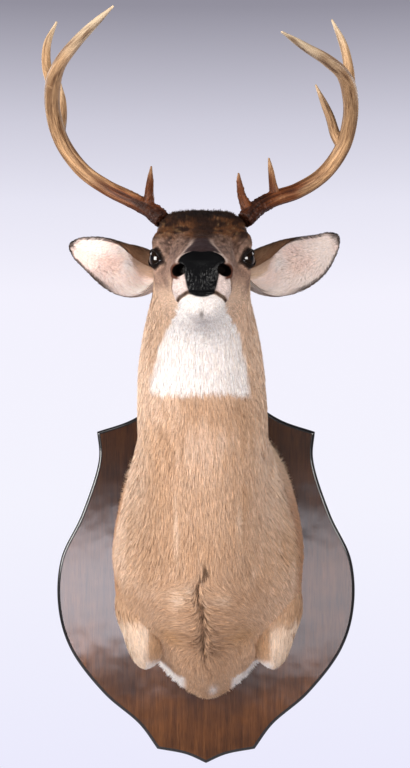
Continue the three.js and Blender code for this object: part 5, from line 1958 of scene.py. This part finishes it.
def build_world():
    """The studio all round: a pale wall behind the board, and dark behind the camera."""
    world = bpy.data.worlds.new("studio")
    bpy.context.scene.world = world
    world.use_nodes = True
    tree = world.node_tree
    direction = add(tree, "ShaderNodeSeparateXYZ")
    link(tree, coordinate(tree, "Generated"), direction.inputs[0])
    height = ranged(tree, direction.outputs["Z"], -0.5, 0.5, 0.0, 1.0)
    behind = ranged(tree, direction.outputs["Y"], 0.2, 0.85, STUDIO_FRONT, 1.0)
    background = tree.nodes["Background"]
    link(tree, behind, background.inputs["Strength"])
    link(tree, ramp(tree, height, *STUDIO_WALL), background.inputs["Color"])


def soft_light(name, at, aim, size, power, tint):
    """A rectangular light."""
    data = bpy.data.lights.new(name, "AREA")
    data.shape = "RECTANGLE"
    data.size, data.size_y = size
    data.energy = power
    data.color = tint
    light = bpy.data.objects.new(name, data)
    light.location = at
    way = Vector(np.array(aim) - np.array(at))
    light.rotation_euler = way.to_track_quat("-Z", "Y").to_euler()
    bpy.context.scene.collection.objects.link(light)


def build_camera():
    """The camera that the photo's view fits, level and looking along +Y."""
    data = bpy.data.cameras.new("camera")
    data.sensor_fit = "VERTICAL"
    data.sensor_width = SENSOR
    data.sensor_height = SENSOR
    data.lens = SENSOR * FOCAL_PX / IMAGE_TALL
    data.clip_start, data.clip_end = 0.05, 50.0
    camera = bpy.data.objects.new("camera", data)
    camera.location = (CAMERA_X * MM, CAMERA_Y * MM, CAMERA_Z * MM)
    camera.rotation_euler = (math.pi / 2, 0, 0)
    bpy.context.scene.collection.objects.link(camera)
    bpy.context.scene.camera = camera


def ear_grounds(name):
    """The back and the hollow of an ear, as grounds for their hair."""
    outer, hollow = ear_grids(name)
    away = away_from(grid_normals(outer, False), outer, hollow)
    inward = away_from(grid_normals(hollow, False), hollow, outer)
    return (Ground(outer, outer + away * EAR_BACK_DEEP, False),
            Ground(hollow, hollow + inward * EAR_HOLLOW_DEEP, False))


def build_flesh():
    """The skin and all of its coat."""
    materials = {kind: coat_material(f"{kind}_hair", *look) for kind, look in HAIR_LOOKS.items()}
    limit, depth, places = body_grids()
    limit, leg_limits = join_legs(limit, places, [leg_grid(side) for side in SIDES.values()])
    body = Ground(limit - grid_normals(limit) * depth[..., None], limit, True)
    ears = {name: ear_grounds(name) for name in SIDES}
    legs = {}
    for name, leg in zip(SIDES, leg_limits):
        legs[name] = Ground(leg - round_normals(leg) * LEG_INSET, leg, True)
    hide = skin_material()
    build_skin(body, places, ears, legs, hide)
    grow_body(body, places, materials)
    for name in SIDES:
        grow_ear(name, *ears[name], materials)
    for name in SIDES:
        grow_leg(name, legs[name], materials)
    return hide


def main():
    hide = build_flesh()
    glass, horn = eye_material(), antler_material()
    for name in SIDES:
        build_lids(name, hide)
        build_eye(name, glass)
        build_antler(name, horn)
    build_board(wood_material())
    steel = steel_material()
    for name in ("hanger", "hanger_screw_upper", "hanger_screw_lower"):
        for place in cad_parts[name].material_slots:
            place.material = steel
    build_stage()
    build_world()
    for light in LIGHTS:
        soft_light(*light)
    build_camera()
    bpy.context.scene.view_settings.view_transform = "Standard"


main()
